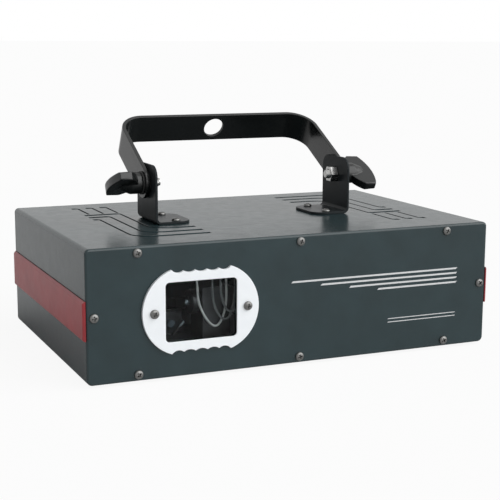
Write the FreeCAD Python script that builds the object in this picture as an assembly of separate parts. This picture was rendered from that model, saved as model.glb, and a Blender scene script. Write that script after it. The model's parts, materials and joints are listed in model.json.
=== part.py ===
# Laser show projector: sheet-steel box with a beam window, rear fittings, optics and a tilting yoke.
# Millimetres, +Z up, front face towards -Y. The origin is the centre of the bounding box's bottom face.
import FreeCAD, Part
import math
import os

Vec = FreeCAD.Vector
X_AXIS = Vec(1, 0, 0)
Y_AXIS = Vec(0, 1, 0)
Z_AXIS = Vec(0, 0, 1)
same_place = 0.1

# Housing
housing_width = 270.0
housing_depth = 175.0
housing_height = 80.0
ground_clearance = 2.0
sheet = 1.2
panel_sheet = 1.5
top_bend = 2.8
bottom_bend = 3.5
return_flange = 14.0
panel_flange = 9.0
assembly_gap = 0.3

# Fasteners
screw_shank_radius = 1.5
screw_hole_radius = 1.6
screw_head_radius = 2.75
screw_head_height = 1.7
screw_length = 8.0

# Panel screw places, from the panel's edges
panel_screw_inset = 4.0
panel_screw_side_inset = 4.7
panel_screw_end = 31.0

# Vent slots in the top: nested bends with feet, and short slots in front of them
vent_pitch = 10.0
vent_end_pitch = 13.0
vent_width = 1.4
vent_cross_width = 4.2
vent_count = 3
vent_side_margin = 31.7
vent_rear_margin = 19.0
vent_left_front_margin = 29.0
vent_inner_x = 56.0
vent_corner = 14.0
vent_foot_corner = 4.0
vent_foot_y = -3.0
vent_foot_step = 10.0
vent_foot_reach = 3.5
vent_front_margin = 32.0
vent_front_length = 26.0
vent_turn_x = 4.0
vent_turn_y = 6.5

# Side trims
trim_drop = 1.75
trim_height = 23.5
trim_proud = 1.8
trim_bevel = 1.3

# Feet
foot_radius = 8.0
foot_inset_x = 30.0
foot_inset_y = 25.0
foot_taper = 0.85

# Beam window and bezel
bezel_inset = 69.75
bezel_drop = 0.3
bezel_width = 73.5
bezel_height = 50.4
bezel_flat = 37.3
bezel_thickness = 2.2
bezel_scallops = 5
bezel_scallop_depth = 1.2
bezel_peak_drop = 0.8
bezel_screw_inset = 7.3
bezel_side = 14.25
bezel_rail = 7.35
window_corner = 2.5
glass_thickness = 1.2
glass_lap = 3.0

# Brackets and yoke
bracket_y = -2.0
bracket_half_span = 69.2
bracket_sheet = 1.6
bracket_width = 36.7
bracket_height = 37.5
bracket_corner = 8.0
bracket_bend = 4.0
bracket_foot = 25.5
bracket_foot_corner = 9.0
bracket_screw_spacing = 28.0
bracket_screw_inset = 15.2
pivot_height = 25.2
yoke_sheet = 2.5
yoke_width = 20.0
yoke_length = 65.0
yoke_bend = 18.0
yoke_tilt = 62.0
yoke_hole_radius = 7.0
friction_washer_thickness = 0.6
friction_washer_radius = 9.0

# Knobs and studs
stud_radius = 3.0
running_clearance = 0.08
clamp_washer_thickness = 1.0
clamp_washer_radius = 7.5
knob_hub_radius = 7.0
knob_hub_length = 7.0
knob_core_radius = 4.4
knob_core_length = 7.0
knob_reach = 17.0
knob_length = 21.5
knob_root = 4.0
knob_tip_low = 10.5
knob_tip_high = 18.0
knob_thickness = 5.6
knob_sweep = 0.35
knob_tip_roundness = 0.8
knob_angle_left = -24.0
knob_angle_right = 28.0
stud_grip = 10.0
stud_end = 2.5
nut_across_flats = 10.0
nut_thickness = 5.0
nut_sides = 6

# Rear fittings
flange_thickness = 2.0
flange_corner = 3.0

inlet_flange = (32.0, 36.0)
inlet_body = (28.0, 31.0)
inlet_depth = 24.0
inlet_socket = (24.4, 16.6)
inlet_socket_chamfer = 4.0
inlet_socket_depth = 17.0
inlet_socket_rise = 5.5
blade_size = (2.0, 4.0)
blade_spacing = 7.0
blade_drop = 2.0
blade_length = 15.0
drawer_size = (21.0, 6.5)
drawer_drop = 9.5
drawer_depth = 14.0
drawer_lip = 1.5
drawer_wall = 3.0
drawer_floor = 1.6

switch_flange = (15.0, 21.0)
switch_body = (13.0, 19.2)
switch_depth = 16.0
rocker_width = 9.0
rocker_half_length = 7.6
rocker_radius = 5.0
rocker_rise = 2.2
rocker_dip = 0.9
rocker_tilt = 8.0
rocker_pocket_depth = 7.5

socket_flange = (26.0, 31.0)
socket_shell_radius = 11.5
socket_depth = 20.0
socket_bore_radius = 9.6
socket_bore_depth = 14.0
socket_insert_radius = 7.6
socket_screw_offset = (9.5, 12.0)
contact_radius = 1.2
contact_circle = 4.0
contact_length = 11.0
contact_count = 3
contact_angle = 30.0

board_sheet = 1.6
display_size = (30.0, 14.0)
display_rise = 12.0
display_proud = 0.4
display_board_size = (50.0, 44.0)
display_board_depth = 10.0
button_drop = 8.0
button_spacing = 10.5
button_count = 4
button_radius = 3.0
button_proud = 1.8
button_travel = 0.8
button_flange = 0.8
button_edge = 0.5
tact_size = 6.0
tact_height = 4.0

sensitivity_drop = 8.0
pot_size = (12.0, 12.0)
pot_depth = 8.0
pot_bushing_radius = 3.6
pot_bushing_proud = 1.0
pot_shaft_radius = 2.5
pot_knob_radius = 7.0
pot_knob_length = 10.0
pot_knob_flutes = 12
pot_flute_radius = 1.25
mic_rise = 14.0
mic_radius = 4.8
mic_length = 6.0
mic_hole_radius = 1.5

fan_size = 40.0
fan_depth = 10.0
fan_corner = 3.0
fan_bore_radius = 18.8
fan_hub_radius = 8.5
fan_blade_count = 7
fan_blade_sheet = 1.0
fan_blade_radius = 18.0
fan_blade_pitch = 35.0
fan_blade_chord = 6.9
fan_blade_root = 1.0
fan_pin_radius = 1.5
fan_strut = 2.4
fan_strut_count = 3
fan_strut_angle = 30.0
fan_web = 1.6
fan_hole_spacing = 32.0
guard_thickness = 1.6
guard_bar = 1.6
guard_rings = (6.5, 12.5, 18.5)
guard_eye_radius = 3.2

# Optics
bench_drop = 3.1
bench_sheet = 4.0
bench_left = 8.0
bench_width = 116.0
bench_depth = 96.0
bench_front_gap = 8.0
standoff_radius = 3.5
standoff_inset = 7.0
scan_setback = 22.0
scan_spread = 14.7
scan_offset = 8.0
scan_motor_radius = 7.5
scan_motor_length = 28.0
scan_motor_gap = 9.0
scan_holder_wall = 2.5
scan_holder_length = 18.0
scan_holder_foot = 3.0
scan_shaft_radius = 1.5
scan_shaft_grip = 14.0
scan_collar_radius = 2.6
scan_collar_length = 3.0
scan_mirror_sheet = 1.2
scan_mirror_low = (10.0, 11.0)
scan_mirror_high = (14.0, 12.0)
laser_radius = 7.0
laser_length = 26.0
laser_nose_radius = 5.0
laser_nose_length = 4.0
laser_lens_radius = 2.5
laser_clamp_length = 14.0
laser_clamp_wall = 3.0
dichroic_offset = 20.0
dichroic_size = 12.0
dichroic_sheet = 1.2
dichroic_mount = 9.0
mirror_slant = 45.0

# Electronics
board_clearance = 6.0
board_bench_gap = 26.0
board_side_gap = 10.0
board_front_gap = 8.0
board_spacing = 10.0
board_rear_gap = 14.0
power_board_inset = 10.0
power_board_depth = 46.0
processor_size = (14.0, 14.0, 1.6)
header_size = (6.0, 40.0, 8.0)
header_inset = 6.0
driver_size = (9.0, 6.0, 2.0)
driver_offset = 24.0
driver_count = 4
driver_inset = 13.0
small_can = (4.0, 11.0)
small_can_offset = -28.0
transformer_size = (26.0, 22.0, 22.0)
transformer_place = (-12.0, 0.0)
choke_size = (14.0, 12.0, 12.0)
choke_place = (26.0, 12.0)
heat_sink_size = (3.0, 30.0, 24.0)
heat_sink_place = (10.0, -6.0)
terminal_size = (8.0, 24.0, 9.0)
terminal_inset = 5.0
input_can = (9.0, 26.0)
input_can_place = (20.0, -10.0)
output_can = (7.0, 22.0)
output_can_inset = 16.0
output_can_spacing = 19.0

# Cables behind the beam window, with both ends under the cover; their bends are placed from the window's
# centre, as shares of its half width and half height
cable_radius = 0.7
cable_setback = 9.5
cable_arc_share = 0.45
cable_routes = (
    ((0.04, 0.34), (0.22, -0.30), (0.48, -0.75), (0.68, -0.76), (0.84, -0.35), (0.91, 0.15), (0.89, 0.84)),
    ((0.44, 0.45), (0.54, -0.15), (0.74, -0.52), (0.92, -0.52), (1.05, -0.15), (1.13, 0.39), (1.11, 1.01)),
    ((0.64, 0.62), (0.75, 0.05), (0.90, -0.22), (1.04, -0.22), (1.13, 0.08), (1.18, 0.73), (1.16, 1.23)),
)
cable_layer = 2.0

# Derived places
bezel_reach = bezel_thickness + screw_head_height
rear_reach = pot_bushing_proud + pot_knob_length
housing_y = (bezel_reach - rear_reach) / 2
front_y = housing_y - housing_depth / 2
rear_y = housing_y + housing_depth / 2
front_back = front_y + panel_sheet
rear_inside = rear_y - panel_sheet
bottom_z = ground_clearance
top_z = bottom_z + housing_height
middle_z = bottom_z + housing_height / 2
half_width = housing_width / 2
base_low = bottom_z + sheet
base_high = base_low + sheet
pivot_y = housing_y + bracket_y
pivot_z = top_z + pivot_height
arm_inner = bracket_half_span + friction_washer_thickness
arm_outer = arm_inner + yoke_sheet
knob_base = arm_outer + clamp_washer_thickness
fitting_height = middle_z
bezel_x = -half_width + bezel_inset
bezel_z = middle_z - bezel_drop
scan_x = bezel_x - scan_offset
scan_y = front_y + scan_setback
scan_high = bezel_z
scan_low = scan_high - scan_spread
bench_high = scan_low - scan_motor_radius - bench_drop
bench_low = bench_high - bench_sheet
laser_x = scan_x - dichroic_offset
board_low = base_high + board_clearance
board_right = half_width - board_side_gap
board_left = -half_width + bench_left + bench_width + board_bench_gap
power_board_y = (rear_inside - inlet_depth - board_rear_gap - power_board_depth,
                 rear_inside - inlet_depth - board_rear_gap)
control_board_y = (front_back + board_front_gap, power_board_y[0] - board_spacing)

# The rear fittings stand in a row, from left to right as seen from the front, with equal gaps
rear_widths = (fan_size, 2 * pot_knob_radius, display_board_size[0], socket_flange[0], socket_flange[0],
               switch_flange[0], inlet_flange[0])
rear_span = housing_width - 2 * (sheet + panel_flange + assembly_gap)
rear_gap = (rear_span - sum(rear_widths)) / (len(rear_widths) - 1)
rear_places = [sum(rear_widths[:i]) + i * rear_gap + rear_widths[i] / 2 - rear_span / 2
               for i in range(len(rear_widths))]
fan_x, sensitivity_x, display_x, dmx_out_x, dmx_in_x, switch_x, inlet_x = rear_places


def save(shape, name):
    """Write one node's solid or group of solids."""
    shape.exportStep("parts/" + name + ".step")


def block(x, y, z):
    """Box between two limits on each axis."""
    return Part.makeBox(x[1] - x[0], y[1] - y[0], z[1] - z[0], Vec(x[0], y[0], z[0]))


def about(centre, size):
    """Two limits of a length centred on a value."""
    return (centre - size / 2, centre + size / 2)


def rod(radius, start, end):
    """Cylinder from one point to another."""
    line = end - start
    return Part.makeCylinder(radius, line.Length, start, line)


def edges_along(shape, axis, test=None):
    """Straight edges parallel to an axis, all or those whose centre passes a test."""
    found = []
    for edge in shape.Edges:
        if edge.Curve.TypeId != "Part::GeomLine":
            continue
        if edge.Curve.Direction.cross(axis).Length < same_place and (test is None or test(edge.CenterOfMass)):
            found.append(edge)
    return found


def rounded(shape, axis, radius, test=None):
    """Fillet the straight edges parallel to an axis."""
    return shape.makeFillet(radius, edges_along(shape, axis, test))


def wire_prism(edges, travel):
    """Solid swept straight from a closed outline."""
    return Part.Face(Part.Wire(edges)).extrude(travel)


def polygon_prism(points, travel):
    """Solid swept straight from a closed polygon."""
    return Part.Face(Part.makePolygon(points + points[:1])).extrude(travel)


def plate_xz(centre_x, centre_z, size, y, corner):
    """Plate facing along Y with four rounded corners."""
    return rounded(block(about(centre_x, size[0]), y, about(centre_z, size[1])), Y_AXIS, corner)


def screw(seat, drive):
    """Screw whose head rests on the seat and whose shank runs along the drive direction."""
    head = rod(screw_head_radius, seat, seat - drive * screw_head_height)
    shank = rod(screw_shank_radius, seat, seat + drive * screw_length)
    return head.fuse(shank).removeSplitter()


def screw_hole(seat, drive):
    """Clearance hole for a screw, long enough for any sheet that it passes."""
    return rod(screw_hole_radius, seat - drive * screw_length, seat + drive * (screw_length + assembly_gap))


def mirrored(shape):
    """The same solid on the other side of the mid plane."""
    return shape.mirror(Vec(0, 0, 0), X_AXIS)


def panel_screw_places():
    """Eight screws round a panel: three above, three below, one at each side."""
    places = []
    for z in (bottom_z + panel_screw_inset, top_z - panel_screw_inset):
        for x in (-half_width + panel_screw_end, 0.0, half_width - panel_screw_end):
            places.append((x, z))
    for x in (-half_width + panel_screw_side_inset, half_width - panel_screw_side_inset):
        places.append((x, bottom_z + housing_height / 2))
    return places


def panel_screw_seats():
    """Seats and drive directions of the front and of the rear panel's screws."""
    front = [(Vec(x, front_y, z), Y_AXIS) for x, z in panel_screw_places()]
    rear = [(Vec(x, rear_y, z), -Y_AXIS) for x, z in panel_screw_places()]
    return front, rear


def base_screw_seats():
    """Screws that hold the base plate to the cover's bottom returns."""
    x = half_width - return_flange / 2
    rows = (-housing_depth / 3, 0.0, housing_depth / 3)
    return [(Vec(side * x, housing_y + row, bottom_z), Z_AXIS) for side in (-1, 1) for row in rows]


def bracket_screw_seats():
    """Two screws through each bracket foot into the top."""
    seat_z = top_z + bracket_sheet
    rows = about(pivot_y, bracket_screw_spacing)
    x = bracket_half_span - bracket_screw_inset
    return [(Vec(side * x, y, seat_z), -Z_AXIS) for side in (-1, 1) for y in rows]


def bezel_screw_seats():
    """One screw at each end of the bezel."""
    ends = about(bezel_x, bezel_width - 2 * bezel_screw_inset)
    return [(Vec(x, front_y - bezel_thickness, bezel_z), Y_AXIS) for x in ends]


def socket_screw_seats():
    """Two screws on a diagonal of each signal socket's flange."""
    seats = []
    for x in (dmx_in_x, dmx_out_x):
        for side in (-1, 1):
            dx = side * socket_screw_offset[0]
            dz = side * socket_screw_offset[1]
            seats.append((Vec(x + dx, rear_y + flange_thickness, fitting_height + dz), -Y_AXIS))
    return seats


def fan_screw_seats():
    """Four screws through the finger guard's eyes into the fan frame."""
    seat_y = rear_y + guard_thickness
    return [(Vec(x, seat_y, z), -Y_AXIS)
            for x in about(fan_x, fan_hole_spacing) for z in about(fitting_height, fan_hole_spacing)]


def cut_screw_holes(shape, seats):
    """Drill a clearance hole at each seat."""
    for seat, drive in seats:
        shape = shape.cut(screw_hole(seat, drive))
    return shape


def screw_group(seats):
    """Identical screws as one group of separate solids."""
    return Part.makeCompound([screw(seat, drive) for seat, drive in seats])


def slot_run(start, end):
    """One straight stretch of a vent slot, cut right through the top."""
    low_z = top_z - 2 * sheet
    half = vent_width / 2
    cross_half = vent_cross_width / 2
    return block((min(start[0], end[0]) - half, max(start[0], end[0]) + half),
                 (min(start[1], end[1]) - cross_half, max(start[1], end[1]) + cross_half),
                 (low_z, top_z + sheet))


def bent_slot(corner, x_end, y_end, radius):
    """Two stretches of a vent slot that meet in a rounded corner."""
    x, y = corner
    bend = slot_run(corner, (x_end, y)).fuse(slot_run(corner, (x, y_end))).removeSplitter()
    out_x = math.copysign(vent_width / 2, x - x_end)
    out_y = math.copysign(vent_cross_width / 2, y - y_end)
    inner_radius = radius - (vent_width + vent_cross_width) / 2
    is_outer = lambda p: abs(p.x - x - out_x) < same_place and abs(p.y - y - out_y) < same_place
    is_inner = lambda p: abs(p.x - x + out_x) < same_place and abs(p.y - y + out_y) < same_place
    return rounded(rounded(bend, Z_AXIS, radius, is_outer), Z_AXIS, inner_radius, is_inner)


def vent_group(outermost_y):
    """Nested bent slots of one side as they lie on the right, each with a foot and a slot in front of it."""
    outer_x = half_width - vent_side_margin
    slots = []
    for i in range(vent_count):
        x = outer_x - i * vent_pitch
        y = outermost_y - i * vent_end_pitch
        foot = housing_y + vent_foot_y - i * vent_foot_step
        middle = (y + foot) / 2
        front = front_y + vent_front_margin
        slots.append(bent_slot((x, y), vent_inner_x, middle, vent_corner))
        slots.append(bent_slot((x, foot), outer_x + vent_foot_reach, middle, vent_foot_corner))
        slots.append(bent_slot((x, front), x + vent_foot_reach, front + vent_front_length, vent_foot_corner))
    return slots[0].fuse(slots[1:]).removeSplitter()


def vent_slots():
    """The slots of the right side, and those of the left, which lie turned half round."""
    turn_y = housing_y + vent_turn_y
    right = vent_group(rear_y - vent_rear_margin)
    left = vent_group(2 * turn_y - front_y - vent_left_front_margin)
    left.rotate(Vec(vent_turn_x, turn_y, 0), Z_AXIS, 180)
    return right.fuse(left)


def top_cover():
    """Wrap of bent sheet: top, sides, bottom returns, and flanges that take the panels' screws."""
    y = (front_back, rear_inside)
    is_top = lambda p: p.z > bottom_z + housing_height / 2
    is_bottom = lambda p: not is_top(p)
    outer = block((-half_width, half_width), y, (bottom_z, top_z))
    outer = rounded(rounded(outer, Y_AXIS, top_bend, is_top), Y_AXIS, bottom_bend, is_bottom)
    inner = block((-half_width + sheet, half_width - sheet), y, (bottom_z + sheet, top_z - sheet))
    inner = rounded(rounded(inner, Y_AXIS, top_bend - sheet, is_top), Y_AXIS, bottom_bend - sheet, is_bottom)
    gap = half_width - return_flange
    shell = outer.cut(inner).cut(block((-gap, gap), y, (bottom_z - sheet, bottom_z + 2 * sheet)))
    flange_low = base_high + panel_flange
    flange_area = inner.common(block((-half_width, half_width), y, (flange_low, top_z)))
    flange_gap = half_width - sheet - panel_flange
    flange_hole = block((-flange_gap, flange_gap), y, (bottom_z, top_z - sheet - panel_flange))
    for y_low in (front_back, rear_inside - sheet):
        ring = flange_area.common(block((-half_width, half_width), (y_low, y_low + sheet), (bottom_z, top_z)))
        shell = shell.fuse(ring.cut(flange_hole))
    front, rear = panel_screw_seats()
    seats = front + rear + base_screw_seats() + bracket_screw_seats()
    return cut_screw_holes(shell.removeSplitter().cut(vent_slots()), seats)


def base_plate():
    """Flat plate on the cover's bottom returns, turned up at the front and the rear."""
    reach = half_width - bottom_bend - assembly_gap
    x = (-reach, reach)
    plate = block(x, (front_back, rear_inside), (base_low, base_high))
    upturn = (base_low, base_low + panel_flange)
    plate = plate.fuse(block(x, (front_back, front_back + sheet), upturn))
    plate = plate.fuse(block(x, (rear_inside - sheet, rear_inside), upturn)).removeSplitter()
    front, rear = panel_screw_seats()
    return cut_screw_holes(plate, front + rear + base_screw_seats())


def panel_blank(y):
    """Housing outline as a flat panel."""
    blank = block((-half_width, half_width), y, (bottom_z, top_z))
    middle = bottom_z + housing_height / 2
    blank = rounded(blank, Y_AXIS, top_bend, lambda p: p.z > middle)
    return rounded(blank, Y_AXIS, bottom_bend, lambda p: p.z < middle)


def window_cut(y, lap):
    """Prism of the beam window, enlarged all round by a lap."""
    size = (bezel_width - 2 * bezel_side + 2 * lap, bezel_height - 2 * bezel_rail + 2 * lap)
    return plate_xz(bezel_x, bezel_z, size, y, window_corner)


def front_panel():
    """Front plate with the beam aperture."""
    panel = panel_blank((front_y, front_back))
    panel = panel.cut(window_cut((front_y - panel_sheet, front_back + panel_sheet), 0))
    return cut_screw_holes(panel, panel_screw_seats()[0] + bezel_screw_seats())


def bezel():
    """Frame with round ends and scalloped long edges, pocketed behind for the glass."""
    half_flat = bezel_flat / 2
    half_height = bezel_height / 2

    def point(x, z):
        return Vec(bezel_x + x, front_y, bezel_z + z)

    edges = []
    pitch = bezel_flat / bezel_scallops
    for side in (1, -1):
        peaks = [half_height] + [half_height - bezel_peak_drop] * (bezel_scallops - 1) + [half_height]
        for i in range(bezel_scallops):
            x0 = half_flat - i * pitch
            start = point(side * x0, side * peaks[i])
            end = point(side * (x0 - pitch), side * peaks[i + 1])
            valley = min(peaks[i], peaks[i + 1]) - bezel_scallop_depth
            edges.append(Part.Arc(start, point(side * (x0 - pitch / 2), side * valley), end).toShape())
        edges.append(Part.Arc(point(-side * half_flat, side * half_height), point(-side * bezel_width / 2, 0),
                              point(-side * half_flat, -side * half_height)).toShape())
    frame = wire_prism(edges, -Y_AXIS * bezel_thickness)
    frame = frame.cut(window_cut((front_y - 2 * bezel_thickness, front_y), 0))
    frame = frame.cut(window_cut((front_y - glass_thickness, front_y), glass_lap))
    return cut_screw_holes(frame, bezel_screw_seats())


def window_glass():
    """Pane held between the bezel's pocket and the front panel."""
    return window_cut((front_y - glass_thickness, front_y), glass_lap - assembly_gap)


def side_trim():
    """Left trim strip, bevelled at its upper edge and both ends and rounded below."""
    x_out = -half_width - trim_proud
    z_low = middle_z - trim_drop - trim_height / 2
    strip = block((x_out, -half_width), (front_y, rear_y), (z_low, z_low + trim_height))
    z_mid = z_low + trim_height / 2
    upper = edges_along(strip, Y_AXIS, lambda p: p.x < -half_width - trim_proud / 2 and p.z > z_mid)
    ends = edges_along(strip, Z_AXIS, lambda p: p.x < -half_width - trim_proud / 2)
    strip = strip.makeChamfer(trim_bevel, upper + ends)
    lower = edges_along(strip, Y_AXIS, lambda p: p.x < -half_width - trim_proud / 2 and p.z < z_mid)
    return strip.makeFillet(trim_bevel, lower)


def foot(x, y):
    """Rubber foot, tapered towards the ground and stuck under the base plate."""
    return Part.makeCone(foot_radius * foot_taper, foot_radius, base_low, Vec(x, y, 0), Z_AXIS)


def bracket():
    """Left L-bracket: an upright leg with round upper corners and a foot turned inwards."""
    x_out = -bracket_half_span
    y = about(pivot_y, bracket_width)
    leg = block((x_out, x_out + bracket_sheet), y, (top_z, top_z + bracket_height))
    leg = rounded(leg, X_AXIS, bracket_corner, lambda p: p.z > top_z + bracket_height / 2)
    plate = block((x_out, x_out + bracket_foot), y, (top_z, top_z + bracket_sheet))
    plate = rounded(plate, Z_AXIS, bracket_foot_corner, lambda p: p.x > x_out + bracket_foot / 2)
    shape = leg.fuse(plate).removeSplitter()
    outer_edge = Vec(x_out, pivot_y, top_z)
    shape = rounded(shape, Y_AXIS, bracket_bend, lambda p: (p - outer_edge).Length < same_place)
    crease = Vec(x_out + bracket_sheet, pivot_y, top_z + bracket_sheet)
    shape = rounded(shape, Y_AXIS, bracket_bend - bracket_sheet, lambda p: (p - crease).Length < same_place)
    axis = Vec(-housing_width, pivot_y, pivot_z)
    shape = shape.cut(rod(stud_radius + running_clearance, axis, Vec(0, pivot_y, pivot_z)))
    return cut_screw_holes(shape, [s for s in bracket_screw_seats() if s[0].x < 0])


def u_edges(half, length, radius, tail):
    """Open U from the left arm's lower end over the bar to the right arm's lower end."""
    turn = radius * (1 - math.sqrt(0.5))

    def point(x, u):
        return Vec(x, 0, u)

    corner = length - radius
    left = Part.Arc(point(-half, corner), point(-half + turn, length - turn), point(-half + radius, length))
    right = Part.Arc(point(half - radius, length), point(half - turn, length - turn), point(half, corner))
    return [Part.LineSegment(point(-half, -tail), point(-half, corner)).toShape(), left.toShape(),
            Part.LineSegment(point(-half + radius, length), point(half - radius, length)).toShape(),
            right.toShape(), Part.LineSegment(point(half, corner), point(half, -tail)).toShape()]


def yoke():
    """Flat strip bent to a U, round at both ends, with the clamp hole in the middle of the bar."""
    tail = yoke_width / 2
    outer = u_edges(arm_outer, yoke_length, yoke_bend, tail)
    inner = u_edges(arm_inner, yoke_length - yoke_sheet, yoke_bend - yoke_sheet, tail)
    ends = [Part.LineSegment(Vec(side * arm_outer, 0, -tail), Vec(side * arm_inner, 0, -tail)).toShape()
            for side in (-1, 1)]
    strip = Part.Face(Part.Wire(Part.__sortEdges__(outer + inner + ends))).extrude(Y_AXIS * yoke_width)
    strip.translate(Vec(0, -yoke_width / 2, 0))
    strip = rounded(strip, X_AXIS, tail - same_place, lambda p: p.z < -tail + same_place)
    strip = strip.cut(rod(stud_radius + running_clearance, Vec(-housing_width, 0, 0), Vec(housing_width, 0, 0)))
    strip = strip.cut(rod(yoke_hole_radius, Vec(0, 0, 0), Vec(0, 0, 2 * yoke_length)))
    strip.rotate(Vec(0, 0, 0), X_AXIS, -yoke_tilt)
    strip.translate(Vec(0, pivot_y, pivot_z))
    return strip


def ring(radius, bore, x0, x1):
    """Flat ring round the pivot axis."""
    start = Vec(x0, pivot_y, pivot_z)
    end = Vec(x1, pivot_y, pivot_z)
    return rod(radius, start, end).cut(rod(bore, start, end))


def friction_washers():
    """Thin washers between the bracket legs and the yoke's arms."""
    bore = stud_radius + running_clearance
    left = ring(friction_washer_radius, bore, -arm_inner, -bracket_half_span)
    return Part.makeCompound([left, mirrored(left)])


def clamp_washer():
    """Steel washer under the left knob."""
    return ring(clamp_washer_radius, stud_radius + running_clearance, -knob_base, -arm_outer)


def pivot_nuts():
    """Hexagon nuts on the inner faces of the bracket legs."""
    x0 = -bracket_half_span + bracket_sheet
    corner = nut_across_flats / math.sqrt(3)
    points = []
    for i in range(nut_sides):
        angle = math.radians(360.0 * i / nut_sides)
        points.append(Vec(x0, pivot_y + corner * math.cos(angle), pivot_z + corner * math.sin(angle)))
    nut = polygon_prism(points, X_AXIS * nut_thickness)
    nut = nut.cut(rod(stud_radius + running_clearance, Vec(x0, pivot_y, pivot_z), Vec(0, pivot_y, pivot_z)))
    return Part.makeCompound([nut, mirrored(nut)])


def stud():
    """Left threaded stud, from inside the knob to just past the nut."""
    x_in = -bracket_half_span + bracket_sheet + nut_thickness + stud_end
    return rod(stud_radius, Vec(-knob_base - stud_grip, pivot_y, pivot_z), Vec(x_in, pivot_y, pivot_z))


def knob(angle):
    """Left wing knob: a round tapered hub with two wings that sweep outwards, crowned on the outside."""
    low = Vec(-knob_hub_radius, 0, knob_root)
    tip_low = Vec(-knob_reach, 0, knob_tip_low)
    tip_high = Vec(-knob_reach, 0, knob_tip_high)
    sweep_mid = Vec(-(knob_hub_radius + knob_reach) / 2, 0, knob_root + (knob_tip_low - knob_root) * knob_sweep)
    crown = Vec(0, 0, knob_length)
    flip = lambda p: Vec(-p.x, p.y, p.z)
    edges = [Part.LineSegment(flip(low), low).toShape(),
             Part.Arc(low, sweep_mid, tip_low).toShape(),
             Part.LineSegment(tip_low, tip_high).toShape(),
             Part.Arc(tip_high, crown, flip(tip_high)).toShape(),
             Part.LineSegment(flip(tip_high), flip(tip_low)).toShape(),
             Part.Arc(flip(tip_low), flip(sweep_mid), flip(low)).toShape()]
    wings = wire_prism(edges, Y_AXIS * knob_thickness)
    wings.translate(Vec(0, -knob_thickness / 2, 0))
    half = knob_thickness / 2
    plan = block((-knob_reach, knob_reach), (-half, half), (0, knob_length))
    plan = rounded(plan, Z_AXIS, half * knob_tip_roundness)
    hub = Part.makeCylinder(knob_hub_radius, knob_hub_length)
    core = Part.makeCone(knob_hub_radius, knob_core_radius, knob_core_length, Vec(0, 0, knob_hub_length))
    shape = wings.common(plan).fuse([hub, core]).removeSplitter()
    shape = shape.cut(Part.makeCylinder(stud_radius, stud_grip))
    shape.rotate(Vec(0, 0, 0), Z_AXIS, -angle)
    shape.rotate(Vec(0, 0, 0), Y_AXIS, -90)
    shape.rotate(Vec(0, 0, 0), X_AXIS, 90)
    shape.translate(Vec(-knob_base, pivot_y, pivot_z))
    return shape


def power_inlet():
    """Mains inlet: flange, body, the socket with two cut corners and the slot for the fuse drawer."""
    flange = plate_xz(inlet_x, fitting_height, inlet_flange, (rear_y, rear_y + flange_thickness), flange_corner)
    body = block(about(inlet_x, inlet_body[0]), (rear_inside - inlet_depth, rear_y),
                 about(fitting_height, inlet_body[1]))
    mouth = rear_y + flange_thickness
    floor = mouth - inlet_socket_depth
    middle = fitting_height + inlet_socket_rise
    socket = block(about(inlet_x, inlet_socket[0]), (floor, mouth), about(middle, inlet_socket[1]))
    corners = edges_along(socket, Y_AXIS, lambda p: p.z > middle)
    socket = socket.makeChamfer(inlet_socket_chamfer, corners)
    slot_size = (drawer_size[0] + assembly_gap, drawer_size[1] + assembly_gap)
    slot = block(about(inlet_x, slot_size[0]), (mouth - drawer_depth - assembly_gap, mouth),
                 about(fitting_height - drawer_drop, slot_size[1]))
    return flange.fuse(body).removeSplitter().cut(socket).cut(slot)


def inlet_blades():
    """Three contact blades standing on the socket's floor."""
    floor = rear_y + flange_thickness - inlet_socket_depth
    middle = fitting_height + inlet_socket_rise
    places = [(-blade_spacing, -blade_drop), (blade_spacing, -blade_drop), (0.0, blade_drop)]
    blades = []
    for dx, dz in places:
        blades.append(block(about(inlet_x + dx, blade_size[0]), (floor, floor + blade_length),
                            about(middle + dz, blade_size[1])))
    return Part.makeCompound(blades)


def fuse_drawer():
    """Drawer for the fuses, with a finger lip outside the flange."""
    mouth = rear_y + flange_thickness
    z = fitting_height - drawer_drop
    tray = block(about(inlet_x, drawer_size[0]), (mouth - drawer_depth, mouth), about(z, drawer_size[1]))
    hollow_x = about(inlet_x, drawer_size[0] - 2 * drawer_wall)
    hollow_y = (mouth - drawer_depth + drawer_lip, mouth - drawer_lip)
    hollow_z = (z - drawer_size[1] / 2 + drawer_floor, z + drawer_size[1])
    tray = tray.cut(block(hollow_x, hollow_y, hollow_z))
    lip = block(about(inlet_x, drawer_size[0] + drawer_lip), (mouth, mouth + drawer_lip),
                about(z, drawer_size[1] + drawer_lip))
    lip = rounded(lip, Y_AXIS, drawer_lip / 2)
    return tray.fuse(lip).removeSplitter()


def switch_body_shape():
    """Rocker switch body with its flange and the rocker's pocket."""
    mouth = rear_y + flange_thickness
    flange = plate_xz(switch_x, fitting_height, switch_flange, (rear_y, mouth), flange_corner / 2)
    body = block(about(switch_x, switch_body[0]), (rear_inside - switch_depth, rear_y),
                 about(fitting_height, switch_body[1]))
    pocket_size = (rocker_width + 2 * assembly_gap, 2 * rocker_half_length + 3 * assembly_gap)
    pocket = block(about(switch_x, pocket_size[0]), (mouth - rocker_pocket_depth, mouth),
                   about(fitting_height, pocket_size[1]))
    return flange.fuse(body).removeSplitter().cut(pocket)


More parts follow.
